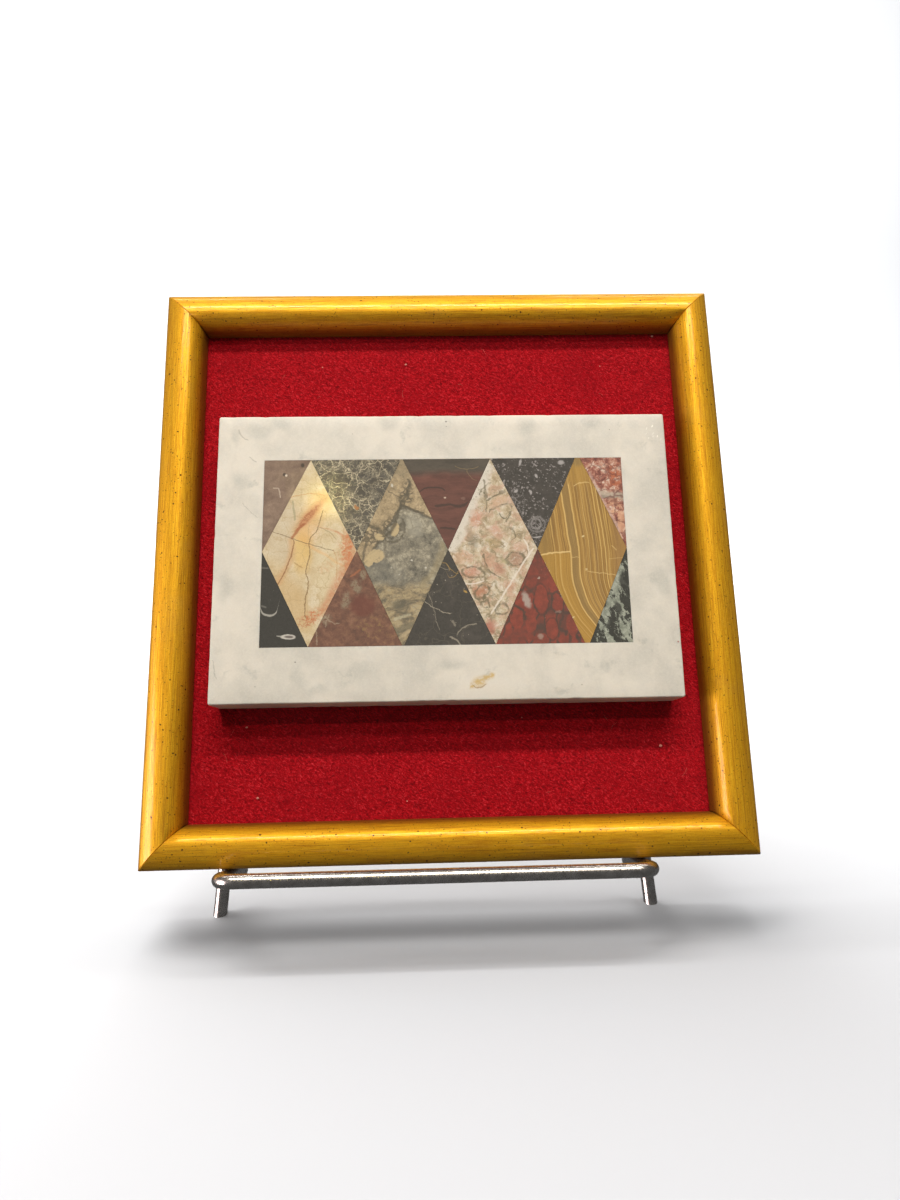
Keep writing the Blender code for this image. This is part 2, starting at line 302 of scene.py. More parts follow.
    def finish(self, colour, roughness, normal=None, **constants):
        self.put(self.shader.inputs["Base Color"], colour)
        self.put(self.shader.inputs["Roughness"], roughness)
        if normal is not None:
            self.put(self.shader.inputs["Normal"], normal)
        for name, value in constants.items():
            self.put(self.shader.inputs[name.replace("_", " ")], value)
        return self.material


# Pieces

def add_piece(name, bm, material, replaced=(), smooth=SMOOTH_ANGLE, placing=PANEL):
    """Puts a mesh made in the panel's frame in its place, on its body."""
    bm.transform(placing)
    bmesh.ops.recalc_face_normals(bm, faces=bm.faces)
    mesh = bpy.data.meshes.new(name)
    bm.to_mesh(mesh)
    bm.free()
    if smooth:
        mesh.shade_smooth()
        mesh.set_sharp_from_angle(angle=math.radians(smooth))
    mesh.materials.append(material)
    piece = bpy.data.objects.new(name, mesh)
    bpy.context.scene.collection.objects.link(piece)
    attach(piece, BODY)
    if replaced:
        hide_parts(*replaced)
    return piece


def bridge(bm, loops):
    """Faces between each closed loop of vertices and the next."""
    for near, far in zip(loops, loops[1:]):
        for i in range(len(near)):
            j = (i + 1) % len(near)
            bm.faces.new((near[i], near[j], far[j], far[i]))


def loft(bm, rings):
    """A closed form through rings of points."""
    loops = [[bm.verts.new(point) for point in ring] for ring in rings]
    bridge(bm, loops)
    bm.faces.new(loops[0])
    bm.faces.new(loops[-1])


# Frame

CROWN_STEPS = 20
ARRIS_STEPS = 6


def moulding_section():
    """The moulding's section as (inset from the outer arris, depth) points, finer than the CAD's."""
    radius = (CROWN_INSET**2 + CROWN_RISE**2) / (2 * CROWN_RISE)
    sweep = math.asin(CROWN_INSET / radius)
    dome = []
    for i in range(CROWN_STEPS + 1):
        angle = sweep * (1 - i / CROWN_STEPS)
        dome.append(Vector((CROWN_INSET - radius * math.sin(angle),
                            CROWN_RISE - radius * (1 - math.cos(angle)))))
    clear = [point for point in dome if point.length > ARRIS_ROUND]
    start, control, end = Vector((0.0, -ARRIS_ROUND)), dome[0], clear[0]
    arris = []
    for i in range(ARRIS_STEPS):
        t = i / ARRIS_STEPS
        arris.append(start * (1 - t) ** 2 + control * 2 * t * (1 - t) + end * t**2)
    nose = []
    for i in range(1, CROWN_STEPS + 1):
        angle = math.pi / 2 * i / CROWN_STEPS
        across = CROWN_INSET + (MOULDING_WIDTH - CROWN_INSET) * math.sin(angle)
        nose.append(Vector((across, (CROWN_RISE + LIP_DEPTH) * math.cos(angle) - LIP_DEPTH)))
    rebate = MOULDING_WIDTH - REBATE_WIDTH
    back = [Vector((rebate, -LIP_DEPTH)), Vector((rebate, FRAME_BACK)), Vector((0.0, FRAME_BACK))]
    return arris + clear + nose + back


MITRE_GAP = 0.06 * MM
MITRE_EASE = 0.16 * MM
RAIL_STATION = 3.0 * MM
HAND_WAVE = 0.07 * MM
HAND_RIPPLE = 0.25
WAVE_ALONG, WAVE_ACROSS = 60.0, 90.0
RIPPLE_ALONG, RIPPLE_ACROSS = 220.0, 300.0
# parts of a rail from its end inward: the eased end face, the start of its sides, and its run
END_FACE, SIDE_START, RUN = range(3)


def make_rail(name, length, across, quarter, material):
    """One side of the frame: its section carried along from mitre to mitre, a little uneven, edges eased."""
    section = moulding_section()
    centre = Vector((MOULDING_WIDTH / 2, FRAME_BACK / 2))
    middle = length / 2 - MOULDING_WIDTH
    count = int(2 * middle / RAIL_STATION)
    spots = [(-1.0, END_FACE), (-1.0, SIDE_START)]
    spots += [(-1.0 + 2.0 * i / count, RUN) for i in range(count + 1)]
    spots += [(1.0, SIDE_START), (1.0, END_FACE)]
    rings = []
    for along, part in spots:
        ring = []
        for u, z in section:
            reach = length / 2 - u - MITRE_GAP
            if part == END_FACE:
                inward = (centre - Vector((u, z))).normalized() * MITRE_EASE
                x, u, z = along * reach, u + inward.x, z + inward.y
            elif part == SIDE_START:
                x = along * (reach - MITRE_EASE)
            else:
                x = along * (middle - MITRE_EASE * 2)
            broad = Vector((x * WAVE_ALONG, u * WAVE_ACROSS + quarter * 7.0, z * WAVE_ACROSS))
            fine = Vector((x * RIPPLE_ALONG, u * RIPPLE_ACROSS, z * RIPPLE_ACROSS + quarter * 5.0))
            ripple = (0.5 + 0.5 * noise.noise(fine)) * HAND_WAVE * HAND_RIPPLE
            drop = (0.5 + 0.5 * noise.noise(broad)) * HAND_WAVE + ripple
            if z > FRAME_BACK + MM and u < MOULDING_WIDTH - MM / 2:
                z -= drop
            ring.append(Vector((x, across / 2 - u, z)))
        rings.append(ring)
    bm = bmesh.new()
    loft(bm, rings)
    bm.transform(Matrix.Rotation(quarter * math.pi / 2, 4, "Z"))
    add_piece(name + "_gilt", bm, material, (name,), smooth=50.0)


GRAIN_DRAW = 0.014


def gilt_material(name, lengthwise):
    """Gold paint over a fine grain that runs along the rail, with dark specks and a brown toning that deepens
    away from the crown, which paints shade on the moulding's sloping edges, sides and back.
    """
    g = Graph(name)
    along, across = (GRAIN_DRAW, 1.0) if lengthwise == "X" else (1.0, GRAIN_DRAW)
    drawn = g.stretched(g.warped(g.place, 0.06, 0.7), along, across)
    grain = g.noise(drawn, 5.0, 4.0, 0.8)
    broad = g.noise(g.stretched(g.place, along * 5.0, across * 0.3), 0.9, 3.0, 0.6)
    g.colour = g.tones(grain, (0.34, 178, 118, 12), (0.5, 222, 162, 18), (0.66, 242, 192, 40))
    g.paint(g.step(broad, 0.48, 0.72), (178, 108, 14), 0.4)
    g.paint(g.patches(g.place, 0.05, 5.0, 0.65, 0.5, 0.72), (206, 152, 52), 0.35)
    g.paint(g.patches(drawn, 1.9, 3.0, 0.7, 0.56, 0.66), (132, 78, 14), 0.36)
    stipple = g.noise(g.warped(g.place, 0.8, 0.5), 2.6, 4.0, 0.8)
    g.paint(g.step(stipple, 0.54, 0.68), (138, 82, 12), 0.5)
    g.paint(g.step(stipple, 0.45, 0.34), (248, 206, 66), 0.35)
    # painted shade: brown laid over the gilt where the moulding drops below its crown, darkest on the arris,
    # the nose, the sides and the back
    depth = g.math("ADD", g.axis(g.place, 2), g.times(g.noise(g.place, 0.3, 4.0, 0.7), 1.6))
    g.paint(g.step(depth, 2.9, -2.4), (104, 54, 14), 0.8)
    size = g.noise(g.place, 0.31, 2.0)
    speck = g.specks(g.warped(g.place, 0.9, 0.7), 0.34, g.times(size, 0.24), g.times(size, 0.14))
    fine_speck = g.specks(g.warped(g.moved(g.place, 31.0, 17.0, 3.0), 1.5, 0.4), 0.75, 0.23, 0.10)
    fine_speck = g.times(fine_speck, g.patches(g.place, 0.18, 3.0, 0.5, 0.42, 0.54))
    dark = g.union(speck, g.times(fine_speck, 0.7))
    g.paint(dark, (54, 28, 12), 0.9)
    roughness = g.math("ADD", g.step(grain, 0.3, 0.7, 0.62, 0.50), g.times(dark, 0.3))
    relief = g.math("SUBTRACT", g.math("ADD", g.times(grain, 0.5), g.times(broad, 0.6)), dark)
    return g.finish(g.colour, roughness, g.bump(relief, 0.4, 0.00010), Metallic=0.62, Specular_IOR_Level=0.3,
                    Coat_Weight=0.26, Coat_Roughness=0.13)


def make_frame():
    level, upright = gilt_material("gilt_level", "X"), gilt_material("gilt_upright", "Y")
    sides = (
        ("frame_rail_top", FRAME_WIDTH, FRAME_HEIGHT, level),
        ("frame_stile_left", FRAME_HEIGHT, FRAME_WIDTH, upright),
        ("frame_rail_bottom", FRAME_WIDTH, FRAME_HEIGHT, level),
        ("frame_stile_right", FRAME_HEIGHT, FRAME_WIDTH, upright),
    )
    for quarter, (name, length, across, material) in enumerate(sides):
        make_rail(name, length, across, quarter, material)


# Felt and board

FELT_CELL = 0.75 * MM
FELT_PILE = 0.30 * MM
TUFT_FREQUENCY = 420.0
FIBRE_FREQUENCY = 900.0


def felt_material():
    g = Graph("crimson_felt")
    curled, fluffed = g.warped(g.place, 0.3, 3.0), g.warped(g.place, 0.8, 1.6)
    tufts = g.noise(g.stretched(curled, 0.6, 1.3, math.radians(35)), 1.35, 4.0, 0.7)
    fibres = g.noise(g.stretched(fluffed, 0.6, 2.2, math.radians(-20)), 2.6, 4.0, 0.75)
    shade = g.math("ADD", g.times(tufts, 0.55), g.times(fibres, 0.45))
    g.colour = g.tones(shade, (0.38, 88, 0, 8), (0.47, 156, 3, 16), (0.55, 198, 14, 28), (0.64, 228, 66, 76))
    g.paint(g.patches(g.place, 0.06, 3.0, 0.5, 0.45, 0.7), (150, 4, 20), 0.35)
    return g.finish(g.colour, 0.95, g.bump(shade, 1.0, 0.0011), Sheen_Weight=0.15, Sheen_Roughness=0.5,
                    Sheen_Tint=(1.0, 0.2, 0.22), Specular_IOR_Level=0.1)


def make_felt():
    """The felt as one closed sheet, its face raised and sunk by the pile."""
    inset = MOULDING_WIDTH - REBATE_WIDTH + BOARD_FIT
    width, height = FRAME_WIDTH - 2 * inset, FRAME_HEIGHT - 2 * inset
    columns, rows = int(width / FELT_CELL), int(height / FELT_CELL)
    bm = bmesh.new()
    grid = []
    for j in range(rows + 1):
        row = []
        for i in range(columns + 1):
            x, y = width * (i / columns - 0.5), height * (j / rows - 0.5)
            tuft = noise.noise(Vector((x * 1.3 + y * 0.6, y * 0.9 - x * 0.4, 0.0)) * TUFT_FREQUENCY)
            fine = noise.noise(Vector((x, y, 0.3)) * FIBRE_FREQUENCY)
            depth = FELT_PILE * (0.5 - 0.45 * tuft - 0.35 * fine)
            row.append(bm.verts.new((x, y, FELT_FACE - max(depth, 0.0))))
        grid.append(row)
    for low, high in zip(grid, grid[1:]):
        for i in range(columns):
            bm.faces.new((low[i], low[i + 1], high[i + 1], high[i]))
    rim = grid[0] + [row[-1] for row in grid[1:]] + grid[-1][-2::-1] + [row[0] for row in grid[-2:0:-1]]
    back = [bm.verts.new((vertex.co.x, vertex.co.y, FELT_FACE - FELT_THICKNESS)) for vertex in rim]
    bridge(bm, [back, rim])
    bm.faces.new(back)
    felt = add_piece("felt_sheet", bm, felt_material(), ("felt",))
    make_fuzz(width, height)


FUZZ_COUNT = 4200
FUZZ_INSET = 6 * MM
FUZZ_REACH = (88 * MM, 90 * MM)
HAIR = 0.028 * MM
# each row: where a fibre of lint starts and ends, and its radius
LINT = (
    ((-77.9, -71.4), (-79.4, -68.0), 0.035), ((57.9, -62.9), (60.4, -60.6), 0.03),
    ((15.7, -75.0), (18.6, -74.4), 0.03), ((-61.4, 74.0), (-60.0, 76.2), 0.035),
    ((17.9, 84.0), (16.0, 86.4), 0.04), ((8.6, 71.0), (6.4, 71.4), 0.05), ((-14.6, 65.6),
                                                                           (-14.4, 69.4), 0.03),
    ((-48.0, 66.2), (-46.6, 67.0), 0.03), ((61.0, 66.8), (63.0, 66.0), 0.03),
    ((-38.0, -68.0), (-36.4, -66.8), 0.03), ((33.0, -84.0), (35.6, -83.2), 0.03),
    ((82.0, -80.0), (84.0, -77.0), 0.03), ((57.0, -60.2), (55.6, -57.4), 0.03),
    ((-77.0, -62.0), (-76.0, -59.6), 0.03),
)
# each row: a crumb's place and its radius
SPECKS = (
    (-71.4, -59.3, 0.40), (-66.9, -83.7, 0.42), (75.0, -69.0, 0.50), (-13.6, 79.9, 0.40), (84.3, 91.2, 0.45),
    (62.6, 78.4, 0.25), (-46.0, 79.0, 0.25), (-15.2, -86.0, 0.25), (26.0, -58.0, 0.25),
)


def add_hair(bm, points, radius):
    """A thin three-sided hair along points, closed at both ends."""
    rings = []
    for i, point in enumerate(points):
        taper = 0.5 if i in (0, len(points) - 1) else 1.0
        run = (points[min(i + 1, len(points) - 1)] - points[max(i - 1, 0)]).normalized()
        side = run.orthogonal().normalized() * radius * taper
        rings.append([point + Matrix.Rotation(2 * math.pi * k / 3, 3, run) @ side for k in range(3)])
    loft(bm, rings)


def fibre(start, heading, length, rise, bend, steps=4):
    """Points of one fibre that leaves the felt, arches over and comes back down to it."""
    points, place = [], Vector((start[0], start[1], FELT_FACE - 0.15 * MM))
    for i in range(steps + 1):
        share = i / steps
        points.append(place + Vector((0.0, 0.0, rise * math.sin(math.pi * share))))
        place = place + Vector((math.cos(heading), math.sin(heading), 0.0)) * (length / steps)
        heading += bend / steps
    return points


def make_fuzz(width, height):
    """Loose fibres of the felt, and the lint that has caught on it."""
    chance = random.Random(11)
    bm = bmesh.new()
    for _ in range(FUZZ_COUNT):
        x = (chance.random() - 0.5) * (width - FUZZ_INSET)
        y = (chance.random() - 0.5) * (height - FUZZ_INSET)
        rise = chance.uniform(0.25, 0.8) * MM
        under_slab = abs(x) < SLAB_WIDTH / 2 and abs(y) < SLAB_HEIGHT / 2
        if under_slab or abs(x) > FUZZ_REACH[0] or abs(y) > FUZZ_REACH[1]:
            continue
        length = chance.uniform(1.0, 3.4) * MM
        add_hair(bm, fibre((x, y), chance.uniform(0, 6.28), length, rise, chance.uniform(-2.5, 2.5)), HAIR)
    g = Graph("felt_fuzz")
    add_piece("felt_fuzz", bm, g.finish(rgb(206, 46, 58), 0.9, Specular_IOR_Level=0.2), smooth=False)

    bm = bmesh.new()
    for start, end, radius in LINT:
        run = (Vector(end) - Vector(start)) * MM
        bend = chance.uniform(-1.4, 1.4)
        heading = math.atan2(run.y, run.x) - bend / 2
        begin = Vector(start) * MM
        add_hair(bm, fibre(begin, heading, run.length, 0.7 * MM, bend, 7), radius * MM * 0.7)
    for x, y, size in SPECKS:
        centre = Vector((x * MM, y * MM, FELT_FACE + 0.25 * MM))
        ball = bmesh.ops.create_icosphere(bm, subdivisions=1, radius=size * MM)["verts"]
        for vertex in ball:
            wobble = 1 + 0.35 * noise.noise(vertex.co * 3000.0 + Vector((x, y, 0.0)))
            vertex.co = centre + Vector((vertex.co.x * 1.2, vertex.co.y, vertex.co.z * 0.6)) * wobble
    g = Graph("pale_lint")
    add_piece("lint", bm, g.finish(rgb(206, 130, 116), 0.8), smooth=False)


def board_material():
    g = Graph("fibreboard")
    fibres = g.noise(g.stretched(g.place, 1.0, 0.4), 0.8, 5.0, 0.7)
    blotches = g.noise(g.place, 0.05, 3.0)
    colour = g.ramp(fibres, (0.35, (0.24, 0.15, 0.08)), (0.65, (0.40, 0.27, 0.16)))
    colour = g.mix(g.step(blotches, 0.5, 0.7, 0.0, 0.4), colour, (0.22, 0.14, 0.08))
    return g.finish(colour, 0.85, g.bump(fibres, 0.3, 0.0003))


# Slab

SLAB_CLOUDS = (
    (-67.0, 46.5, 9, 5), (-59.0, 49.0, 6, 4), (-75.0, 44.0, 3, 6), (55.0, 48.5, 5, 4), (-52, -45.0, 5, 7),
    (-20.0, 49.0, 7, 5), (30.0, 46.0, 6, 5), (-73.0, 27.0, 6, 6), (0.5, -40.5, 9, 3), (-45.0, -49.0, 9, 4),
    (76.0, -12.0, 5, 8), (-77.0, -12.0, 4, 8), (-30.0, -42.0, 7, 4),
)
SLAB_PITS = (
    (1.1, 48.9, 0.6, (90, 84, 72)), (-52.4, -38.7, 0.5, (96, 88, 76)), (79.8, -34.2, 0.6, (150, 50, 40)),
    (1.2, 47.0, 0.35, (110, 100, 86)), (-65.8, -46.8, 0.35, (120, 110, 94)),
    (61.0, 45.0, 0.35, (130, 120, 104)),
    (-33.0, 44.5, 0.3, (120, 112, 96)), (45.4, -48.4, 0.4, (140, 128, 108)),
)


def slab_material():
    """White marble: faint grey clouds, a few pits, scuffs and a yellow-brown stain."""
    g = Graph("white_marble")
    clouds = g.noise(g.warped(g.place, 0.03, 14.0), 0.055, 5.0, 0.6)
    grains = g.noise(g.place, 1.6, 4.0, 0.7)
    g.colour = g.tones(clouds, (0.35, 198, 193, 182), (0.6, 217, 210, 197))
    g.paint(g.patches(g.warped(g.place, 0.12, 5.0), 0.13, 5.0, 0.65, 0.58, 0.72), (168, 167, 158), 0.5)
    near = g.warped(g.place, 0.14, 6.0)
    g.blobs(near, (172, 171, 162), 0.45, 0.8, *SLAB_CLOUDS)
    g.paint(g.step(grains, 0.40, 0.68), (232, 227, 214), 0.22)
    fine = g.warped(g.place, 0.6, 1.4)
    stain = g.union(g.blob(fine, 10.2, -46.8, 4.6, 3.4, 20, 0.7),
                    g.stroke(fine, 0.9, 1.6, 7.6, -48.2, 11.0, -46.2, 15.0, -44.4))
    g.paint(g.times(stain, g.patches(fine, 0.7, 4.0, 0.7, 0.34, 0.58, 0.15, 1.0)), (196, 162, 84), 0.8)
    g.paint(g.stroke(fine, 0.8, 0.5, 8.2, -48.0, 10.0, -48.8, 12.6, -47.6), (146, 112, 56), 0.6)
    scratches = g.lines(fine, 0.5, (0.5, -74.0, 46.5, -72.6, 43.8, -70.8, 42.6),
                        (0.22, -72.0, 18.5, -66.5, 13.0),
                        (0.3, -70.0, 36.0, -67.4, 34.0), (0.3, -80.5, -37.5, -79.0, -44.0))
    g.paint(scratches, (150, 146, 134), 0.45)
    scuffed = g.union(g.blob(near, 77.0, 44.2, 5.0, 8.0, 0, 0.5), g.blob(near, -79.6, -48.0, 3.0, 4.0, 0,
                                                                         0.5))
    marks = g.specks(g.stretched(g.warped(g.place, 1.2, 0.8), 1.0, 0.35, 0.5), 1.0, 0.26, 0.10)
    g.paint(g.times(marks, scuffed), (244, 240, 230), 0.9)
    for x, y, size, tint in SLAB_PITS:
        g.paint(g.blob(g.place, x, y, size, size), tint, 0.75)
    rough = g.math("ADD", g.step(clouds, 0.3, 0.7, 0.38, 0.48), g.times(scuffed, 0.2))
    return g.finish(g.colour, rough, g.bump(grains, 0.15, 0.0001), Specular_IOR_Level=0.35,
                    Subsurface_Weight=0.22, Subsurface_Radius=(0.004, 0.003, 0.0022), Subsurface_Scale=0.6)


EDGE_ROUND = 0.55 * MM
EDGE_STEPS = 4
CORNER_ROUND = EDGE_ROUND * 1.2
CORNER_STEPS = 3
SIDE_STEPS = 5
FACE_STEPS = 4
SLAB_CELL = 2.0 * MM
RECESS_ROOM = 0.3 * MM
WELD = 0.002 * MM
WEAR = 0.55 * MM
WEAR_FREQUENCY = 320.0
EVEN_WEAR = 0.10 * MM
EVEN_FREQUENCY = 60.0


def slab_outline(inset, z):
    """The slab's outline with small round corners as one loop, drawn in by inset."""
    x, y = SLAB_WIDTH / 2 - inset, SLAB_HEIGHT / 2 - inset
    cells_x, cells_y = int(SLAB_WIDTH / SLAB_CELL), int(SLAB_HEIGHT / SLAB_CELL)
    corners = ((x, -y, -90.0, cells_y), (x, y, 0.0, cells_x), (-x, y, 90.0, cells_y),
               (-x, -y, 180.0, cells_x))
    loop = []
    for corner_x, corner_y, begin, count in corners:
        middle_x = corner_x - math.copysign(CORNER_ROUND, corner_x)
        middle_y = corner_y - math.copysign(CORNER_ROUND, corner_y)
        for i in range(CORNER_STEPS + 1):
            angle = math.radians(begin + 90.0 * i / CORNER_STEPS)
            spoke = Vector((math.cos(angle), math.sin(angle), 0.0)) * CORNER_ROUND
            loop.append((Vector((middle_x, middle_y, z)) + spoke, count if i == CORNER_STEPS else 1))
    points = []
    for (point, count), (following, _) in zip(loop, loop[1:] + loop[:1]):
        points += [point] + [point.lerp(following, i / count) for i in range(1, count)]
    return points


def worn(point):
    """A point of the slab's edge after handling: pulled in a little, more in a few places."""
    wear = max(0.0, noise.noise(point * WEAR_FREQUENCY) - 0.25) * WEAR
    even = (0.5 + 0.5 * noise.noise(point * EVEN_FREQUENCY)) * EVEN_WEAR
    inward = Vector((-point.x, -point.y, 0.0)).normalized()
    return point + inward * (wear + even)


def across_face(point):
    """The recess's rim, where a point of the face's rim looks straight across to it."""
    found = []
    for value, half, reach in ((point.x, INLAY_WIDTH / 2, SLAB_WIDTH / 2 - EDGE_ROUND),
                               (point.y, INLAY_HEIGHT / 2, SLAB_HEIGHT / 2 - EDGE_ROUND)):
        at_end = abs(abs(value) - reach) < MM
        found.append(math.copysign(half, value) if at_end else max(-half, min(half, value * half / reach)))
    return Vector((found[0], found[1] + INLAY_RISE, SLAB_FACE))


def make_slab():
    """The slab: a back, rounded arrises, and a face that stops at the recess for the inlay."""
    turns = [math.pi / 2 * i / EDGE_STEPS for i in range(EDGE_STEPS + 1)]
    flat = SLAB_FACE - SLAB_BACK - 2 * EDGE_ROUND
    edge = [(EDGE_ROUND * (1 - math.sin(a)), SLAB_BACK + EDGE_ROUND * (1 - math.cos(a))) for a in turns]
    edge += [(0.0, SLAB_BACK + EDGE_ROUND + flat * i / SIDE_STEPS) for i in range(1, SIDE_STEPS)]
    edge += [(EDGE_ROUND * (1 - math.cos(a)), SLAB_FACE - EDGE_ROUND * (1 - math.sin(a))) for a in turns]
    rings = [[worn(point) for point in slab_outline(inset, z)] for inset, z in edge]
    rim = rings[-1]
    inner = [across_face(point) for point in rim]
    for i in range(1, FACE_STEPS + 1):
        rings.append([far.lerp(near, i / FACE_STEPS) for far, near in zip(rim, inner)])
    rings.append([point - Vector((0.0, 0.0, STONE_THICKNESS + RECESS_ROOM)) for point in inner])
    bm = bmesh.new()
    loft(bm, rings)
    bmesh.ops.remove_doubles(bm, verts=bm.verts, dist=WELD)
    bm.transform(SLAB)
    return add_piece("slab", bm, slab_material(), ("marble_slab",), smooth=45.0)


# Stones: each figure paints g.colour, with places and widths in millimetres in the panel's plane

def dusty_brown(g):
    clouds = g.noise(g.warped(g.place, 0.2, 3.0), 0.18, 5.0, 0.7)
    g.colour = g.tones(clouds, (0.35, 112, 88, 76), (0.6, 142, 118, 101), (0.75, 164, 142, 120))
    g.paint(g.patches(g.place, 1.9, 4.0, 0.8, 0.54, 0.70), (166, 142, 120), 0.55)
    near = g.warped(g.place, 0.8, 0.5)
    g.paint(g.blob(near, -50.8, 32.6, 1.3, 1.6), (52, 38, 36))
    g.paint(g.blob(near, -57.3, 29.2, 1.1, 1.3), (60, 44, 42))
    g.paint(g.blob(near, -56.6, 28.8, 0.8, 1.0), (216, 202, 184))
    squiggle = g.lines(near, 0.5, (0.4, -61.2, 24.2, -59.4, 24.0),
                       (0.4, -59.3, 24.0, -58.8, 22.4, -58.6, 20.6))
    g.paint(squiggle, (196, 178, 160), 0.75)


def siena(g):
    near = g.warped(g.place, 0.16, 2.2)
    fine = g.warped(g.place, 0.5, 0.9, 1.8, 0.5)
    clouds = g.noise(near, 0.2, 6.0, 0.7)
    g.colour = g.tones(clouds, (0.32, 198, 172, 130), (0.5, 216, 196, 158), (0.68, 228, 214, 186))
    g.paint(g.patches(g.place, 1.8, 4.0, 0.8, 0.46, 0.66), (190, 172, 134), 0.4)
    g.paint(g.blob(near, -57.5, 8, 14, 22), (206, 192, 168), 0.5)
    g.paint(g.blob(near, -42, -6, 9, 20), (224, 208, 170), 0.5)
    g.paint(g.blob(near, -54.5, -17.5, 11, 24, 28, 0.4), (206, 174, 122), 0.7)
    g.paint(g.blob(near, -50.6, 0.8, 6.6, 16, 0, 0.55), (226, 188, 112), 0.75)
    g.paint(g.stroke(near, 0.9, 7.5, -42.5, 20.5, -47, 13.5, -50.0, 6.0, -49.8, 4.0), (230, 176, 106), 0.5)
    mottle = g.patches(fine, 0.9, 5.0, 0.75, 0.42, 0.6)
    g.paint(g.blob(fine, -47.6, 14.4, 14.5, 3.6, 50, 0.5), (204, 134, 86), 0.6)
    core = g.times(g.blob(fine, -48.8, 12.8, 12, 2.1, 50, 0.4), g.math("ADD", mottle, 0.35, True))
    g.paint(core, (168, 92, 56), 0.85)
    g.paint(g.stroke(fine, 0.5, 1.1, -50.2, 10.5, -52.8, 7.6, -54.2, 5.4), (166, 94, 54), 0.8)
    g.paint(g.stroke(near, 0.9, 2.4, -54.2, 4.5, -54.6, -1.0, -56.6, -6.5, -59.6, -11.5),
            (208, 158, 106), 0.55)
    edge = g.stroke(near, 0.9, 3.4, -37.6, 7.0, -33.6, -0.5, -36.8, -8.5, -42.6, -20.5)
    g.paint(g.times(edge, g.patches(fine, 0.5, 5.0, 0.7, 0.36, 0.6, 0.45, 1.0)), (200, 126, 82), 0.75)
    twigs = g.cracks(g.warped(g.place, 0.9, 1.8), 0.6, 0.09, 0.03)
    for blob, mask, tint, strength in (((-34.4, 1.0, 5.6, 13.0, 0, 0.7), mottle, (204, 112, 62), 0.9),
                                       ((-46.4, -22.8, 7.5, 5.2, 20, 0.4), mottle, (198, 112, 64), 0.9),
                                       ((-49.4, -25.0, 7.5, 4.0, 10, 0.4), twigs, (178, 84, 44), 0.7),
                                       ((-42.0, -5.5, 6.5, 3.4, 30, 0.6), mottle, (206, 156, 112), 0.5)):
        g.paint(g.times(g.blob(near, *blob), mask), tint, strength)
    g.paint(g.cracks(g.warped(fine, 0.3, 4.0), 0.16, 0.030, 0.006), (178, 148, 102), 0.4)
    for tint, strength, *line in (
            ((150, 104, 62), 0.85, 0.42, -54.2, 5.4, -53.9, 0.9, -55.6, -4.5, -58.8, -11.2),
            ((158, 150, 116), 0.65, 0.7, -54.2, 19.0, -53.6, 15.2, -53.2, 12.0),
            ((138, 108, 66), 0.85, 0.36, -43.5, 15.5, -45.2, 8.8, -48.1, 3.8, -47.9, -0.8, -49.1, -6.2,
             -48.3, -11.6, -49.2, -16.6, -49.1, -23.3),
            ((116, 92, 62), 0.7, 0.26, -61.4, 8.4, -54.8, 5.5, -48.1, 3.2, -39.3, 0.5),
            ((202, 142, 88), 0.65, 0.3, -54.8, 20.5, -48.1, 21.8, -42.7, 20.9),
            ((156, 134, 98), 0.5, 0.4, -44.5, 9.2, -41.5, 7.6, -38.6, 4.8),
            ((172, 132, 74), 0.6, 0.5, -53.2, -3.6, -50.6, -5.4),
            ((198, 148, 98), 0.6, 0.3, -39.6, 1.0, -38.4, -5.0, -38.8, -10.0)):
        g.paint(g.stroke(fine, 0.5, *line), tint, strength)


def net_veined(g):
    near = g.warped(g.place, 0.22, 4.0, 1.0, 1.3)
    body = g.noise(near, 0.3, 4.0, 0.65)
    g.colour = g.tones(body, (0.34, 64, 60, 56), (0.66, 98, 92, 82))
    g.blobs(near, (68, 62, 56), 0.8, 0.3, (-24.3, 31.4, 7.5, 4.0), (-28.5, 21.7, 5.5, 5.0),
            (-37.7, 21.7, 3.6, 4.0),
            (-34.6, 29.0, 4.5, 4.5), (-23.6, 25.6, 5.0, 4.0), (-32.5, 5.5, 6.0, 5.0))
    wide = g.cells(near, 0.20, "DISTANCE_TO_EDGE")
    g.paint(g.step(wide, 0.20, 0.03), (104, 94, 76), 0.35)
    tangle = g.cracks(g.moved(near, 3.0, 25.0), 0.95, 0.15, 0.02)
    g.paint(g.times(tangle, g.patches(g.place, 0.33, 3.0, 0.5, 0.44, 0.56)), (158, 148, 124), 0.6)
    second = g.cracks(g.moved(near, 17.0, 5.0), 0.45, 0.048, 0.008)
    g.paint(g.times(second, g.step(body, 0.44, 0.54, 0.05, 1.0)), (188, 176, 148), 0.8)
    share = g.patches(g.moved(g.place, 9.0, 4.0), 0.14, 3.0, 0.5, 0.36, 0.5, 0.3, 1.0)
    g.paint(g.times(g.step(wide, 0.028, 0.006), share), (206, 194, 164), 0.9)
    g.paint(g.blob(near, -31.7, 16.6, 1.5, 1.0), (180, 122, 70), 0.9)


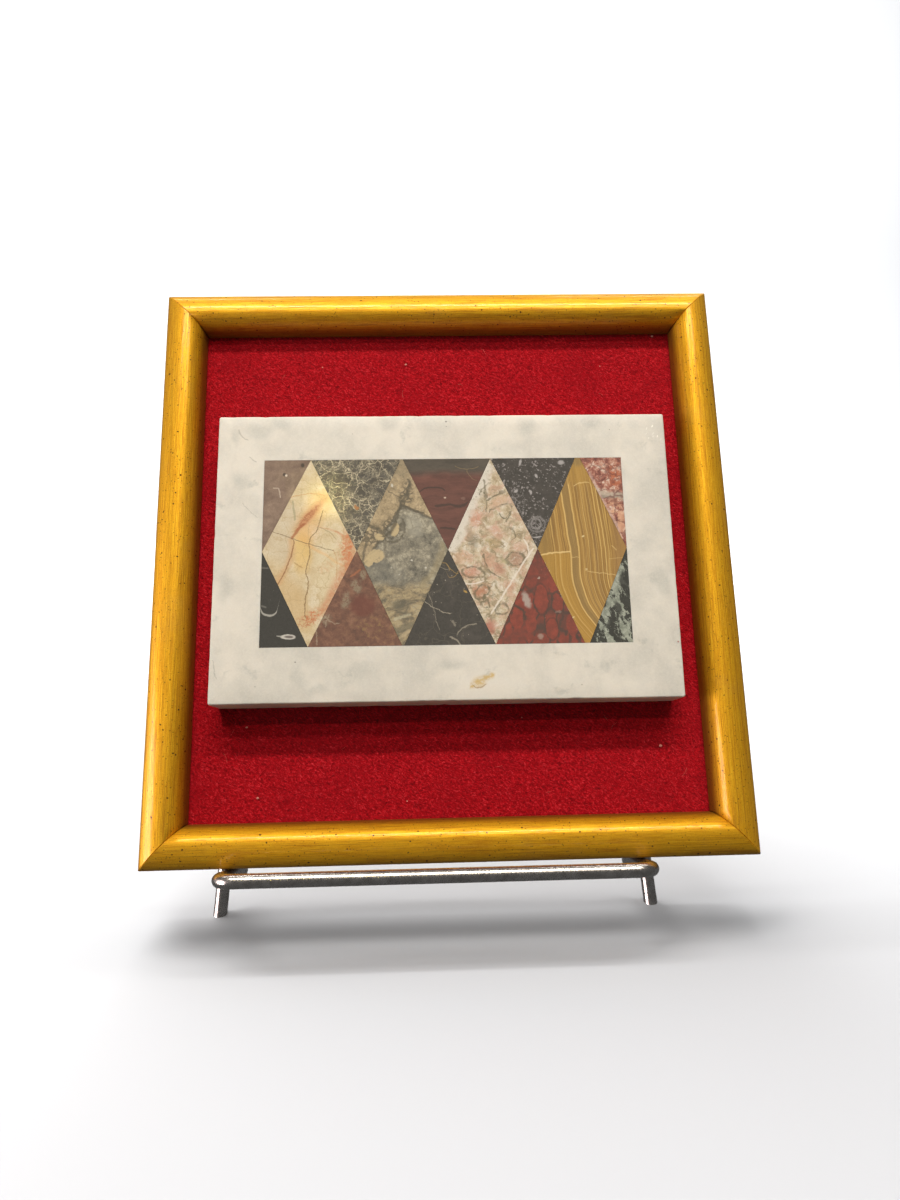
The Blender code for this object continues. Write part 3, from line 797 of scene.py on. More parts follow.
def grey_breccia(g):
    near = g.warped(g.place, 0.16, 3.0, 0.8, 0.8)
    fine = g.warped(g.place, 0.5, 1.4, 1.6, 0.6)
    clouds = g.noise(near, 0.25, 6.0, 0.72)
    g.colour = g.tones(clouds, (0.38, 90, 86, 77), (0.51, 138, 131, 114), (0.63, 184, 175, 152))
    g.paint(g.blob(near, -21, -8, 15, 8, -25), (106, 105, 98), 0.45)
    g.paint(g.blob(near, -11, 9, 6, 9, 15), (178, 172, 154), 0.5)
    # the tan body fills the top of the lozenge and ends along two straight fronts
    above = g.vector("DOT_PRODUCT", fine, (0.423, 0.906, 0.0))
    beside = g.vector("DOT_PRODUCT", fine, (-0.850, 0.527, 0.0))
    away = g.math("MAXIMUM", g.math("SUBTRACT", above, 8.85), g.math("SUBTRACT", beside, 22.1))
    tan_body = g.tones(g.noise(fine, 0.5, 5.0, 0.75), (0.36, 140, 122, 92), (0.62, 196, 173, 136))
    g.paint(g.step(away, -0.2, 0.2), tan_body)
    g.paint(g.blob(near, -16.0, 31.5, 8.0, 9.0, 0, 0.5), (128, 116, 92), 0.6)
    seam = g.times(g.step(g.math("ABSOLUTE", away), 0.75, 0.2), g.step(clouds, 0.40, 0.50, 0.35, 1.0))
    g.paint(seam, (84, 76, 62), 0.85)
    around = g.union(g.blob(near, -26.2, 5.6, 9.5, 8.0, 0, 0.35), g.blob(near, -19.0, 8.2, 8.0, 8.0, 30,
                                                                         0.35),
                     g.blob(near, -14.2, 20.5, 4.5, 12, -10, 0.4))
    g.paint(g.times(g.cracks(g.warped(g.place, 0.8, 1.8), 0.5, 0.24, 0.06), around), (82, 74, 60), 0.85)
    g.blobs(fine, (196, 174, 132), 0.95, 0.15, (-24.8, -1.6, 6.2, 4.6, 15), (-27.2, -3.6, 3.0, 3.6),
            (-17.9, 8.0, 2.8, 5.2, -15), (-23.2, 5.4, 3.6, 2.8), (-27.8, 8.4, 3.0, 1.8))
    g.strokes(fine, (82, 74, 60), 0.7, (0.85, 1.2, -12.7, 26.5, -13.2, 22.0, -15.6, 17.6, -18.1, 9.7, -21.8,
                                        5.5),
              (0.8, 0.8, -15.0, 17.0, -11.0, 15.2, -7.7, 13.8),
              (0.8, 1.1, -21.8, 5.5, -25.0, 8.6, -28.6, 9.4),
              (0.75, 0.8, -28.0, 3.0, -29.0, -1.0, -29.4, -5.0),
              (0.7, 0.9, -21.5, 4.5, -18.0, 3.4, -15.4, 5.4),
              (0.6, 0.8, -15.6, 5.4, -14.6, 8.0, -15.2, 11.6), (0.6, 0.4, -20.4, 22.5, -15.8, 19.6),
              (0.5, 0.9, -20.6, 3.8, -21.6, 1.0, -21.0, -2.0))
    flow = g.noise(g.stretched(g.warped(g.place, 0.16, 6.0), 0.4, 1.0, math.radians(-14)), 0.5, 5.0, 0.65)
    bands = g.tones(flow, (0.38, 96, 88, 72), (0.5, 150, 132, 100), (0.6, 180, 160, 120),
                    (0.70, 162, 154, 134))
    g.paint(g.step(g.axis(near, 1), -10.0, -14.5), bands, 0.92)
    g.paint(g.blob(fine, -16.6, -19.2, 5.6, 3.4, 12, 0.5), (96, 90, 74), 0.8)
    g.paint(g.blob(fine, -15.0, -27.6, 11, 2.6, 22, 0.4), (112, 104, 84), 0.75)
    g.paint(g.stroke(fine, 0.7, 1.0, -18.5, -24.4, -13.0, -22.8), (186, 176, 146), 0.8)
    g.paint(g.stroke(fine, 0.7, 1.0, -18.2, -31.8, -13.0, -28.4), (186, 166, 130), 0.85)
    g.paint(g.stroke(near, 0.9, 2.2, -1.5, 2.0, -3.0, -4.5, -6.0, -9.5, -9.0, -13.0), (160, 144, 108), 0.55)
    for x, y, size in ((-12.3, -3.5, 0.8), (-7.3, -6.0, 0.7), (-19.3, -6.0, 0.6), (-19.0, 24.6, 1.0),
                       (-16.5, -8.5, 0.5)):
        g.paint(g.blob(fine, x, y, size, size), (212, 206, 190), 0.85)
    web = g.cracks(g.warped(g.place, 0.7, 2.2), 0.35, 0.10, 0.02)
    g.paint(g.times(web, g.step(clouds, 0.42, 0.56)), (98, 90, 74), 0.35)
    g.paint(g.patches(g.place, 1.6, 4.0, 0.8, 0.58, 0.74), (184, 178, 162), 0.5)


def oxblood(g):
    near, fine = g.warped(g.place, 0.12, 3.0), g.warped(g.place, 0.5, 1.0)
    streaks = g.noise(g.stretched(near, 0.3, 1.0), 0.35, 6.0, 0.7)
    g.colour = g.tones(streaks, (0.35, 86, 46, 40), (0.6, 108, 62, 53), (0.75, 122, 74, 62))
    grey = g.tones(streaks, (0.35, 62, 58, 51), (0.65, 84, 78, 68))
    g.paint(g.step(g.axis(near, 1), 26.6, 31.0), grey, 0.92)
    dark = g.lines(near, 0.9, (0.8, -3.0, 17.2, 1.5, 17.2, 4.5, 16.2, 8.0, 17.2),
                   (0.5, -9.0, 22.0, -5.0, 23.5, 0.0, 22.4), (0.6, -2.0, 7.8, 3.5, 8.2))
    g.paint(dark, (44, 28, 26), 0.75)
    threads = g.lines(fine, 0.5, (0.3, 4.0, 31.5, 8.2, 30.4, 12.5, 31.2),
                      (0.25, 8.2, 30.4, 9.0, 28.0, 11.5, 25.8))
    g.paint(threads, (136, 114, 80), 0.5)
    g.paint(g.blob(fine, 0.0, 19.7, 0.7, 0.7), (200, 176, 156))
    g.paint(g.blob(fine, 6.6, 19.2, 1.6, 1.2), (140, 106, 94), 0.5)


PINK_CLASTS = (
    (10.8, 11.2, 4.6, 6.4, 0, (206, 142, 118), 0.8), (17.9, 6.8, 5.2, 4.6, 0, (208, 156, 134), 0.7),
    (15.0, -4.0, 4.4, 5.4, 0, (206, 156, 130), 0.7), (18.4, -7.0, 3.6, 4.6, 0, (190, 134, 112), 0.75),
    (24.6, -3.6, 6.0, 4.6, 20, (172, 130, 108), 0.75), (8.6, -8.4, 7.0, 4.4, 0, (198, 130, 104), 0.75),
    (11.9, -14.8, 6.0, 4.0, 30, (182, 112, 78), 0.8), (14.6, -27.4, 3.0, 4.6, 15, (178, 98, 82), 0.85),
    (26.0, 1.0, 5.0, 3.4, 0, (212, 170, 148), 0.7), (5.0, -3.0, 4.6, 4.6, 0, (214, 172, 142), 0.6),
    (22.6, -13.6, 4.6, 3.0, 60, (206, 156, 130), 0.7), (19.0, 17.6, 7.0, 3.6, 25, (208, 166, 136), 0.75),
    (16.3, 2.2, 5.0, 3.6, 0, (172, 154, 104), 0.65), (10.0, 3.4, 3.6, 5.4, -20, (138, 132, 112), 0.7),
    (8.6, 6.4, 1.8, 5.0, 20, (146, 138, 114), 0.55), (20.6, -4.6, 3.0, 3.0, 0, (200, 188, 146), 0.7),
)
CLAST_STRENGTH = 0.85


def pink_breccia(g):
    near = g.warped(g.place, 0.28, 4.4, 1.2, 0.9)
    fine = g.warped(g.place, 0.34, 3.4, 1.5, 0.9)
    tone = g.noise(near, 0.32, 5.0, 0.7)
    g.colour = g.tones(tone, (0.36, 168, 148, 116), (0.5, 208, 190, 160), (0.64, 228, 218, 200))
    g.paint(g.patches(g.moved(near, 40.0, 7.0), 0.22, 4.0, 0.6, 0.47, 0.6), (204, 162, 138), 0.6)
    outline = g.cracks(g.warped(near, 0.4, 1.6), 0.30, 0.15, 0.02)
    outline = g.times(outline, g.patches(g.place, 0.25, 3.0, 0.5, 0.44, 0.6))
    g.paint(g.times(outline, g.step(g.axis(near, 1), 14.0, 2.0, 0.3, 0.9)), (144, 128, 98))
    white = g.stroke(near, 0.6, 4.4, 15.6, 31.5, 13.2, 25.0, 9.6, 18.0, 6.6, 12.0, 4.0, 5.0, 1.2, 0.0)
    g.paint(white, (222, 214, 200), 0.9)
    for *blob, tint, strength in PINK_CLASTS:
        g.paint(g.blob(near, *blob, 0.6), tint, strength * CLAST_STRENGTH)
    g.paint(g.patches(fine, 0.55, 5.0, 0.8, 0.54, 0.66), (136, 128, 100), 0.7)
    g.paint(g.patches(g.moved(fine, 20.0, 50.0), 0.5, 5.0, 0.8, 0.55, 0.66), (226, 216, 200), 0.65)
    rims = g.lines(fine, 0.8, (0.7, 14.2, 26.0, 14.6, 21.0, 14.6, 14.6),
                   (0.7, 15.8, 14.2, 19.2, 15.8, 22.6, 17.4),
                   (0.7, 23.4, 17.0, 23.6, 14.0, 21.6, 10.6), (0.6, 15.0, 18.6, 18.0, 20.0, 21.8, 21.8),
                   (0.6, 12.2, 20.5, 13.8, 23.0, 16.2, 25.2), (0.6, 13.0, -1.6, 15.0, -7.0, 18.6, -9.8),
                   (0.5, 22.8, 8.4, 24.4, 6.4, 23.2, 3.4))
    ovals = ((24.4, -3.6, 6.8, 5.0, 0.7, 20), (9.2, -8.0, 7.2, 4.8, 0.6, 0), (12.2, -15.2, 5.6, 4.4, 0.7, 30),
             (13.4, -19.4, 2.6, 2.2, 0.7, 0), (18.8, -21.6, 4.2, 3.8, 0.7, 20))
    rims = g.union(rims, *(g.ring(fine, *oval, 0.8) for oval in ovals))
    g.paint(g.times(rims, g.patches(fine, 0.4, 3.0, 0.5, 0.34, 0.5, 0.3, 1.0)), (104, 96, 72), 0.8)
    straight = g.warped(g.place, 0.7, 0.8)
    g.paint(g.stroke(straight, 0.5, 0.4, 19.4, 13.4, 21.0, 11.5, 22.4, 12.6), (78, 80, 62), 0.8)
    g.strokes(straight, (232, 220, 204), 0.6, (0.9, 0.6, 30.9, 0.2, 27.6, -4.4, 25.0, -8.3, 20.0, -15.8,
                                               15.2, -23.0),
              (0.9, 0.6, 27.8, 3.4, 29.2, -0.2, 28.4, -3.4), (0.9, 0.5, 4.8, -11.8, 9.0, -12.2, 13.0, -11.2))
    g.paint(g.patches(g.place, 1.3, 5.0, 0.8, 0.56, 0.72), (150, 136, 108), 0.35)


def charcoal(g):
    near = g.warped(g.place, 0.5, 1.2)
    g.colour = g.tones(g.noise(near, 0.4, 4.0, 0.6), (0.35, 46, 42, 41), (0.65, 64, 58, 56))
    dense = g.patches(g.moved(g.place, 5.0, 60.0), 0.2, 2.0, 0.5, 0.34, 0.52, 0.35, 1.0)
    for scale, size, turn, strength in ((0.6, 0.30, 0.5, 0.85), (0.95, 0.34, 1.9, 0.8),
                                        (1.6, 0.34, 2.6, 0.7)):
        place = g.stretched(g.warped(g.place, 0.9, 1.2, 2.5, 0.4), 1.0, 0.5, turn)
        shown = g.patches(g.moved(g.place, turn * 20, 3.0), 0.6, 2.0, 0.5, 0.46, 0.56)
        flecks = g.times(g.specks(place, scale, size, size * 0.45), shown)
        g.paint(g.times(flecks, dense), (162, 154, 152), strength)
    curled = g.union(g.blob(near, 32.5, 9.2, 7.0, 6.5, 0, 0.2), g.blob(near, 31.0, 4.6, 5.0, 3.0, 0, 0.3),
                     g.blob(near, 26.0, 18.0, 5.0, 9.0, 0, 0.4))
    g.paint(g.times(g.cracks(g.warped(g.place, 0.8, 2.4), 0.5, 0.07, 0.02), curled), (150, 143, 141), 0.65)
    g.paint(g.ring(near, 32.4, 9.4, 3.4, 3.8, 0.6, 0, 0.7), (156, 150, 148), 0.6)
    g.paint(g.ring(near, 32.6, 9.2, 5.8, 5.6, 0.5, 0, 0.7), (140, 134, 132), 0.5)
    g.blobs(near, (178, 172, 170), 0.85, 0.4, (25.6, 21.8, 1.6, 1.0, 20), (27.6, 32.6, 0.9, 2.4, -20),
            (33.2, 27.4, 0.9, 1.8, 25), (30.8, 21.2, 1.0, 1.6, 25), (42.4, 32.4, 2.2, 1.6),
            (32.6, 4.4, 3.2, 0.6, 5))


ONYX_LINES = (
    (44.0, 0.40, 0.9), (47.0, 0.36, 0.9), (40.3, 0.3, 0.5), (50.9, 0.26, 0.5), (52.6, 0.22, 0.45),
    (55.2, 0.26, 0.6),
    (56.6, 0.3, 0.75), (48.6, 0.2, 0.4), (53.7, 0.2, 0.4), (57.8, 0.24, 0.5), (38.6, 0.26, 0.35),
    (49.7, 0.18, 0.35),
)


def gold_onyx(g):
    """Stripes that run up the stone and lean to the right at its foot."""
    near = g.warped(g.place, 0.12, 0.8)
    level, up = g.axis(near, 0), g.axis(near, 1)
    foot = g.math("MAXIMUM", g.math("SUBTRACT", -8.0, up), 0.0)
    bend = g.times(g.times(foot, foot), 0.0185)
    lean = g.times(g.math("MAXIMUM", up, 0.0), -0.1)
    across = g.math("SUBTRACT", level, g.math("ADD", bend, lean))
    stripe_place = g.node("ShaderNodeCombineXYZ", {0: across, 1: g.times(up, 0.012), 2: 0.0})
    wide = g.noise(stripe_place, 0.55, 2.0, 0.5)
    fine = g.noise(stripe_place, 2.4, 4.0, 0.78)
    g.colour = g.tones(fine, (0.34, 120, 86, 30), (0.5, 158, 117, 46), (0.66, 202, 162, 84))
    g.paint(g.step(wide, 0.5, 0.68), (186, 142, 66), 0.5)
    g.paint(g.step(wide, 0.46, 0.34), (132, 96, 46), 0.6)
    g.paint(g.step(level, 39.0, 36.0), (146, 116, 58), 0.5)
    g.paint(g.step(level, 57.5, 61.5), (156, 116, 62), 0.65)
    g.paint(g.times(g.step(up, -1.4, -2.0), g.step(across, 44.0, 43.4)), (186, 140, 44), 0.5)
    strip = g.times(g.step(across, 44.0, 44.5), g.step(across, 46.9, 46.4))
    g.paint(g.times(strip, g.step(up, 30.0, 22.0, 0.4, 1.0)), (142, 114, 62), 0.6)
    g.paint(g.blob(near, 48.6, 28.2, 7.0, 9.5, 0, 0.2), (178, 136, 54), 0.55)
    g.paint(g.blob(near, 48.4, 33.5, 5.0, 5.0, 0, 0.4), (126, 104, 64), 0.6)
    for line, width, strength in ONYX_LINES:
        away = g.math("ABSOLUTE", g.math("SUBTRACT", across, line))
        shown = g.times(g.step(away, width, width * 0.25), g.step(up, 24.8, 23.6, 0.35, 1.0))
        g.paint(shown, (218, 180, 106), strength)
    close = g.warped(g.place, 0.6, 1.0)
    g.strokes(close, (226, 192, 124), 0.5, (0.9, 0.55, 33.2, -2.2, 35.0, -1.9, 37.5, -1.5, 40.5, -1.3, 43.8,
                                            -1.2),
              (0.6, 0.4, 46.7, 23.4, 49.6, 24.6, 52.2, 24.4), (0.6, 0.3, 49.0, -8.2, 54.6, -9.2, 59.8, -10.0),
              (0.5, 0.3, 44.2, -3.2, 47.0, -3.2), (0.5, 0.35, 59.0, 0.8, 60.4, -0.8),
              (0.4, 0.25, 58.0, -4.0, 62.6, -3.6))
    g.blobs(close, (232, 208, 150), 0.8, 0.4, (49.0, 4.4, 0.8, 0.5), (49.4, -7.6, 0.8, 0.5),
            (43.8, -24.8, 0.8, 0.5))


def red_breccia(g):
    near = g.warped(g.place, 0.4, 2.4, 1.4, 0.8)
    tone = g.noise(near, 0.34, 5.0, 0.75)
    g.colour = g.tones(tone, (0.38, 104, 50, 44), (0.46, 154, 88, 74), (0.54, 190, 136, 114),
                       (0.62, 226, 204, 186))
    g.paint(g.times(g.blob(near, 61.8, 27.0, 5.0, 9.0, 0, 0.5), g.step(tone, 0.58, 0.46)),
            (196, 108, 66), 0.7)
    south = g.patches(g.moved(near, 3.0, 9.0), 0.5, 3.0, 0.5, 0.46, 0.56)
    g.paint(g.times(g.blob(near, 61.0, 11.0, 7.0, 14.0, 0, 0.4), south), (222, 170, 134), 0.75)
    band = g.stroke(near, 0.8, 2.4, 54.8, 21.8, 57.2, 20.2, 59.4, 19.6, 61.8, 19.8, 65.0, 18.4)
    g.paint(band, (188, 176, 158), 0.8)
    g.paint(g.stroke(near, 0.8, 0.8, 56.6, 19.6, 60.0, 18.8, 64.0, 19.6), (140, 132, 118), 0.7)
    g.paint(g.cracks(g.warped(near, 0.3, 4.0), 0.24, 0.09, 0.02), (108, 52, 48), 0.65)
    g.paint(g.stroke(near, 0.8, 1.0, 52.6, 28.6, 54.6, 23.0, 58.0, 15.0, 62.0, 6.0), (206, 176, 162), 0.5)


def fossil_black(g):
    near = g.warped(g.place, 0.5, 0.5)
    g.colour = g.tones(g.noise(g.place, 1.6, 4.0, 0.75), (0.35, 30, 29, 30), (0.7, 46, 44, 43))
    specks = g.times(g.specks(g.place, 0.8, 0.12, 0.05), g.patches(g.place, 0.4, 2.0, 0.5, 0.50, 0.58))
    g.paint(specks, (130, 126, 118), 0.6)
    crescent = g.stroke(near, 0.6, 0.7, -64.6, -19.6, -63.9, -21.3, -62.2, -22.2, -60.4, -22.1, -59.2, -21.2,
                        -58.8, -20.2)
    g.paint(crescent, (176, 172, 162), 0.85)
    faint = g.lines(near, 0.8, (0.5, -64.3, -18.8, -62.8, -19.4), (0.5, -64.5, -5.2, -62.3, -5.4))
    g.paint(faint, (140, 136, 128), 0.4)
    g.paint(g.blob(near, -55.0, -29.9, 5.2, 1.8, -2, 0.15), (196, 190, 180))
    g.paint(g.blob(near, -54.7, -29.9, 3.2, 0.9, -2, 0.3), (112, 102, 98))
    g.paint(g.stroke(near, 0.5, 0.4, -57.2, -29.8, -58.8, -29.5), (180, 176, 166), 0.7)


def red_brown(g):
    near = g.warped(g.place, 0.3, 2.6, 1.2, 0.8)
    fine = g.warped(g.place, 0.7, 1.6)
    tone = g.noise(near, 0.35, 6.0, 0.75)
    g.colour = g.tones(tone, (0.34, 88, 56, 45), (0.5, 114, 73, 57), (0.66, 140, 98, 76))
    flow = g.stretched(g.warped(g.place, 0.2, 5.0), 1.0, 0.35, math.radians(-50))
    g.paint(g.patches(flow, 0.8, 5.0, 0.7, 0.54, 0.66), (148, 104, 76), 0.5)
    g.paint(g.blob(near, -29.4, -19.5, 8.5, 7.5, 0, 0.3), (106, 48, 38), 0.7)
    streaks = g.lines(fine, 0.8, (1.3, -33.5, -1.5, -36.5, -5.0, -38.5, -8.0),
                      (0.7, -30.5, -6.5, -33.5, -9.0))
    g.paint(streaks, (180, 108, 68), 0.6)
    gold = g.patches(g.warped(g.place, 0.5, 3.0), 0.7, 4.0, 0.7, 0.53, 0.64)
    g.paint(g.times(gold, g.blob(near, -25.0, -28.0, 18.0, 10.0, -10, 0.6)), (146, 114, 70), 0.65)
    ragged = g.patches(fine, 0.8, 4.0, 0.7, 0.38, 0.55)
    for blob in ((-31.6, -12.6, 3.2, 4.6, 10), (-35.2, -17.4, 2.4, 6.0, -15), (-43.6, -24.2, 6.0, 4.0, 20),
                 (-29.5, -8.5, 2.0, 3.4, -25)):
        g.paint(g.times(g.blob(near, *blob, 0.5), ragged), (144, 128, 104), 0.85)
    pale = g.lines(fine, 0.5, (0.4, -42.5, -23.0, -39.5, -25.2, -37.6, -25.6),
                   (0.35, -45.5, -26.0, -45.0, -33.0),
                   (0.5, -41.0, -22.4, -42.4, -26.6))
    g.paint(pale, (168, 150, 126), 0.55)


def dark_grey(g):
    near = g.warped(g.place, 0.4, 1.6)
    g.colour = g.tones(g.noise(g.place, 1.3, 5.0, 0.75), (0.35, 44, 41, 39), (0.7, 64, 59, 56))
    g.paint(g.patches(near, 0.18, 3.0, 0.5, 0.5, 0.7), (78, 71, 67), 0.5)
    g.paint(g.cracks(g.warped(near, 0.3, 4.0), 0.11, 0.020, 0.004), (120, 110, 94), 0.22)
    specks = g.specks(g.warped(g.place, 1.0, 0.6), 0.6, 0.14, 0.07)
    g.paint(g.times(specks, g.patches(g.place, 0.35, 2.0, 0.5, 0.48, 0.58)), (176, 166, 150), 0.8)
    fine = g.warped(g.place, 0.6, 1.0, 2.0, 0.4)
    g.strokes(fine, (166, 156, 138), 0.5, (0.75, 0.3, -7.7, -18.3, -5.0, -20.4, -0.6, -22.4, 1.4, -22.6),
              (0.5, 0.22, -6.4, -15.0, -4.6, -22.0, -3.0, -28.7),
              (0.55, 0.42, 3.0, -30.6, 4.6, -28.4, 10.0, -26.4),
              (0.65, 0.5, 0.6, -30.8, 3.2, -32.4, 4.8, -34.6),
              (0.55, 0.35, -9.4, -19.8, -10.8, -21.4, -12.4, -20.8),
              (0.45, 0.9, 1.6, -25.4, 2.6, -27.0), (0.5, 0.24, -3.0, -3.6, -1.4, -6.4, 1.4, -6.8))
    g.strokes(fine, (154, 124, 70), 0.5, (0.75, 0.28, 0.0, -8.2, 1.6, -9.9, 4.2, -7.4),
              (0.75, 0.28, 0.4, -5.4, 2.2, -7.4, 4.0, -8.4), (0.75, 0.28, -1.6, -4.4, 0.4, -5.4, 1.0, -7.4),
              (0.75, 0.28, 5.8, -14.4, 7.0, -15.4))
    g.paint(g.blob(fine, 6.4, -15.0, 1.2, 0.7, -20, 0.5), (184, 146, 70), 0.9)


JASPER_OVALS = (
    (36.2, -28.8, 4.4, 7.6), (43.0, -28.2, 3.4, 7.6, 8), (38.6, -20.4, 3.9, 5.0, 10),
    (32.9, -18.2, 4.8, 11.0),
    (27.8, -19.2, 4.2, 8.0, 15), (24.0, -25.6, 4.6, 6.0, 10), (29.0, -27.0, 4.0, 6.0, -10),
    (37.4, -12.6, 4.0, 6.0, 30), (32.2, -32.2, 5.4, 4.0), (39.6, -32.6, 2.6, 3.2),
)


def red_jasper(g):
    near = g.warped(g.place, 0.35, 1.4, 1.4, 0.5)
    rims = g.cells(g.stretched(near, 1.0, 0.6, math.radians(8)), 0.30, "DISTANCE_TO_EDGE", randomness=0.9)
    tone = g.noise(near, 0.4, 5.0, 0.7)
    g.colour = g.tones(tone, (0.35, 64, 40, 34), (0.65, 92, 52, 42))
    red = g.tones(tone, (0.35, 118, 44, 32), (0.65, 146, 56, 40))
    g.paint(g.step(rims, 0.03, 0.16), red)
    calm = g.union(g.blob(near, 32.5, -9.5, 12.0, 13.0, 0, 0.4), g.blob(near, 24.0, -31.0, 12.0, 6.0, 20,
                                                                        0.4))
    g.paint(calm, g.tones(tone, (0.35, 104, 44, 34), (0.65, 132, 52, 39)), 0.75)
    g.blobs(near, (76, 48, 42), 0.7, 0.5, (35.0, -20.5, 8.0, 7.0), (33.0, -30.0, 5.0, 10.0, 10),
            (40.0, -26.0, 4.0, 10.0, -10), (28.0, -15.8, 9.0, 1.6, 30), (31.5, -27.8, 12.0, 2.0, -10))
    g.blobs(near, red, 0.9, 0.10, *JASPER_OVALS)
    g.paint(g.ring(near, 32.9, -18.2, 5.0, 11.2, 0.4, 0, 0.8), (72, 38, 32), 0.6)
    g.paint(g.ring(near, 36.2, -28.8, 4.6, 7.8, 0.4, 0, 0.8), (72, 38, 32), 0.6)
    g.paint(g.specks(g.warped(g.place, 0.9, 0.5), 0.5, 0.11, 0.05), (176, 116, 96), 0.45)
    ragged = g.warped(g.place, 0.9, 1.2)
    g.paint(g.blob(ragged, 27.7, -18.4, 2.4, 5.8, 18, 0.4), (176, 162, 152), 0.85)
    g.paint(g.blob(ragged, 32.0, -31.4, 2.0, 2.0, 0, 0.4), (168, 144, 130), 0.7)
    g.paint(g.blob(ragged, 38.6, -22.8, 2.0, 0.9, 0, 0.4), (150, 124, 112), 0.5)
    g.paint(g.blob(ragged, 32.4, -10.6, 0.7, 0.7), (180, 162, 148), 0.9)


def black_breccia(g):
    near = g.warped(g.place, 0.5, 1.8, 1.6, 0.7)
    body = g.noise(near, 0.6, 4.0, 0.7)
    g.colour = g.tones(body, (0.35, 22, 23, 22), (0.65, 40, 42, 39))
    streaks = g.noise(g.stretched(near, 1.0, 0.4, math.radians(-22)), 0.6, 5.0, 0.75)
    spine = g.lines(near, 0.9, (4.6, 61.5, -8.0, 59.2, -14.0, 58.6, -18.5, 61.0, -24.0, 62.6, -32.0),
                    (3.6, 58.2, -18.0, 55.6, -23.0, 54.0, -27.5, 56.5, -33.5))
    mask = g.step(g.math("ADD", streaks, g.times(spine, 0.16)), 0.585, 0.625)
    g.paint(mask, g.tones(body, (0.35, 118, 124, 110), (0.65, 172, 176, 160)))
    g.blobs(near, (26, 28, 27), 0.9, 0.3, (59.8, -21.8, 2.4, 4.6, 20), (62.4, -12.0, 3.2, 7.0),
            (56.5, -28.5, 2.0, 4.4, 15))
    g.paint(g.specks(g.warped(g.place, 1.2, 0.6), 0.9, 0.18, 0.08), (150, 146, 126), 0.45)


STONES = {
    "lozenge_siena": siena,
    "lozenge_grey_breccia": grey_breccia,
    "lozenge_pink_breccia": pink_breccia,
    "lozenge_gold_onyx": gold_onyx,
    "top_corner_dusty_brown": dusty_brown,
    "top_triangle_net_veined": net_veined,
    "top_triangle_oxblood": oxblood,
    "top_triangle_charcoal": charcoal,
    "top_corner_red_breccia": red_breccia,
    "bottom_corner_fossil_black": fossil_black,
    "bottom_triangle_red_brown": red_brown,
    "bottom_triangle_dark_grey": dark_grey,
    "bottom_triangle_red_jasper": red_jasper,
    "bottom_corner_black_breccia": black_breccia,
}


def stone_material(node, figure):
    """A stone's own figure, with the grain, pits and polish that all the stones share, under a pale veil of
    painted reflection.
    """
    g = Graph(node)
    figure(g)
    grain = g.noise(g.place, 3.2, 3.0, 0.7)
    pitted = g.mix(g.step(grain, 0.62, 0.36, 0.0, 0.22), g.colour, (0.5, 0.47, 0.44), "MULTIPLY")
    # painted reflection: each stone's colour is lifted a tenth of the way to a pale warm grey, for the haze
    # of light reflected off the polished face
    colour = g.mix(0.10, pitted, (0.50, 0.48, 0.40))
    smear = g.patches(g.warped(g.place, 0.08, 8.0), 0.07, 4.0, 0.6, 0.4, 0.7, 0.05, 0.11)
    roughness = g.math("ADD", smear, g.times(grain, 0.03))
    return g.finish(colour, roughness, g.bump(grain, 0.035, 0.00005), Specular_IOR_Level=0.5)


JOINT_GROW = 0.13 * MM
BORDER_GROW = 0.27 * MM
ARRIS_EASE = 0.05 * MM


def stone_outline(node):
    """A stone's outline in the slab's frame, read from its CAD node and grown to a tight joint."""
    back_to_slab = (PANEL @ SLAB).inverted()
    points = [back_to_slab @ vertex.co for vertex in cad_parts[node].data.vertices]
    face = max(point.z for point in points)
    flat = {(round(p.x, 6), round(p.y, 6)) for p in points if p.z > face - MM}
    middle = Vector((sum(x for x, _ in flat), sum(y for _, y in flat))) / len(flat)
    corners = sorted((Vector(p) for p in flat), key=lambda p: math.atan2(p.y - middle.y, p.x - middle.x))
    lines = []
    for start, end in zip(corners, corners[1:] + corners[:1]):
        along = (end - start).normalized()
        outward = Vector((along.y, -along.x))
        at_border = min(abs(along.x), abs(along.y)) < 0.02
        lines.append((start + outward * (BORDER_GROW if at_border else JOINT_GROW), along))
    grown = []
    for (before, direction), (after, other) in zip(lines[-1:] + lines[:-1], lines):
        reach = (after - before).cross(other) / direction.cross(other)
        grown.append(before + direction * reach)
    return grown


def make_stone(node, material):
    outline = stone_outline(node)
    middle = sum(outline, Vector((0.0, 0.0))) / len(outline)
    bm = bmesh.new()
    rings = []
    for z, inset in ((SLAB_FACE - STONE_THICKNESS, 0.0), (SLAB_FACE - ARRIS_EASE, 0.0),
                     (SLAB_FACE, ARRIS_EASE)):
        rings.append([Vector((*(p + (middle - p).normalized() * inset), z)) for p in outline])
    loft(bm, rings)
    bm.transform(SLAB)
    add_piece(node.replace("lozenge", "stone") + "_stone", bm, material, (node,), smooth=False)


def make_stones():
    for node, figure in STONES.items():
        make_stone(node, stone_material(node, figure))


# Easel

ROD_SIDES = 28
BEND_STEPS = 14
ROD_STATION = 4.0 * MM
ROD_WAVE = 0.05 * MM
ROD_FREQUENCY = 90.0
END_ROUND = 0.5 * MM
END_STEPS = 4


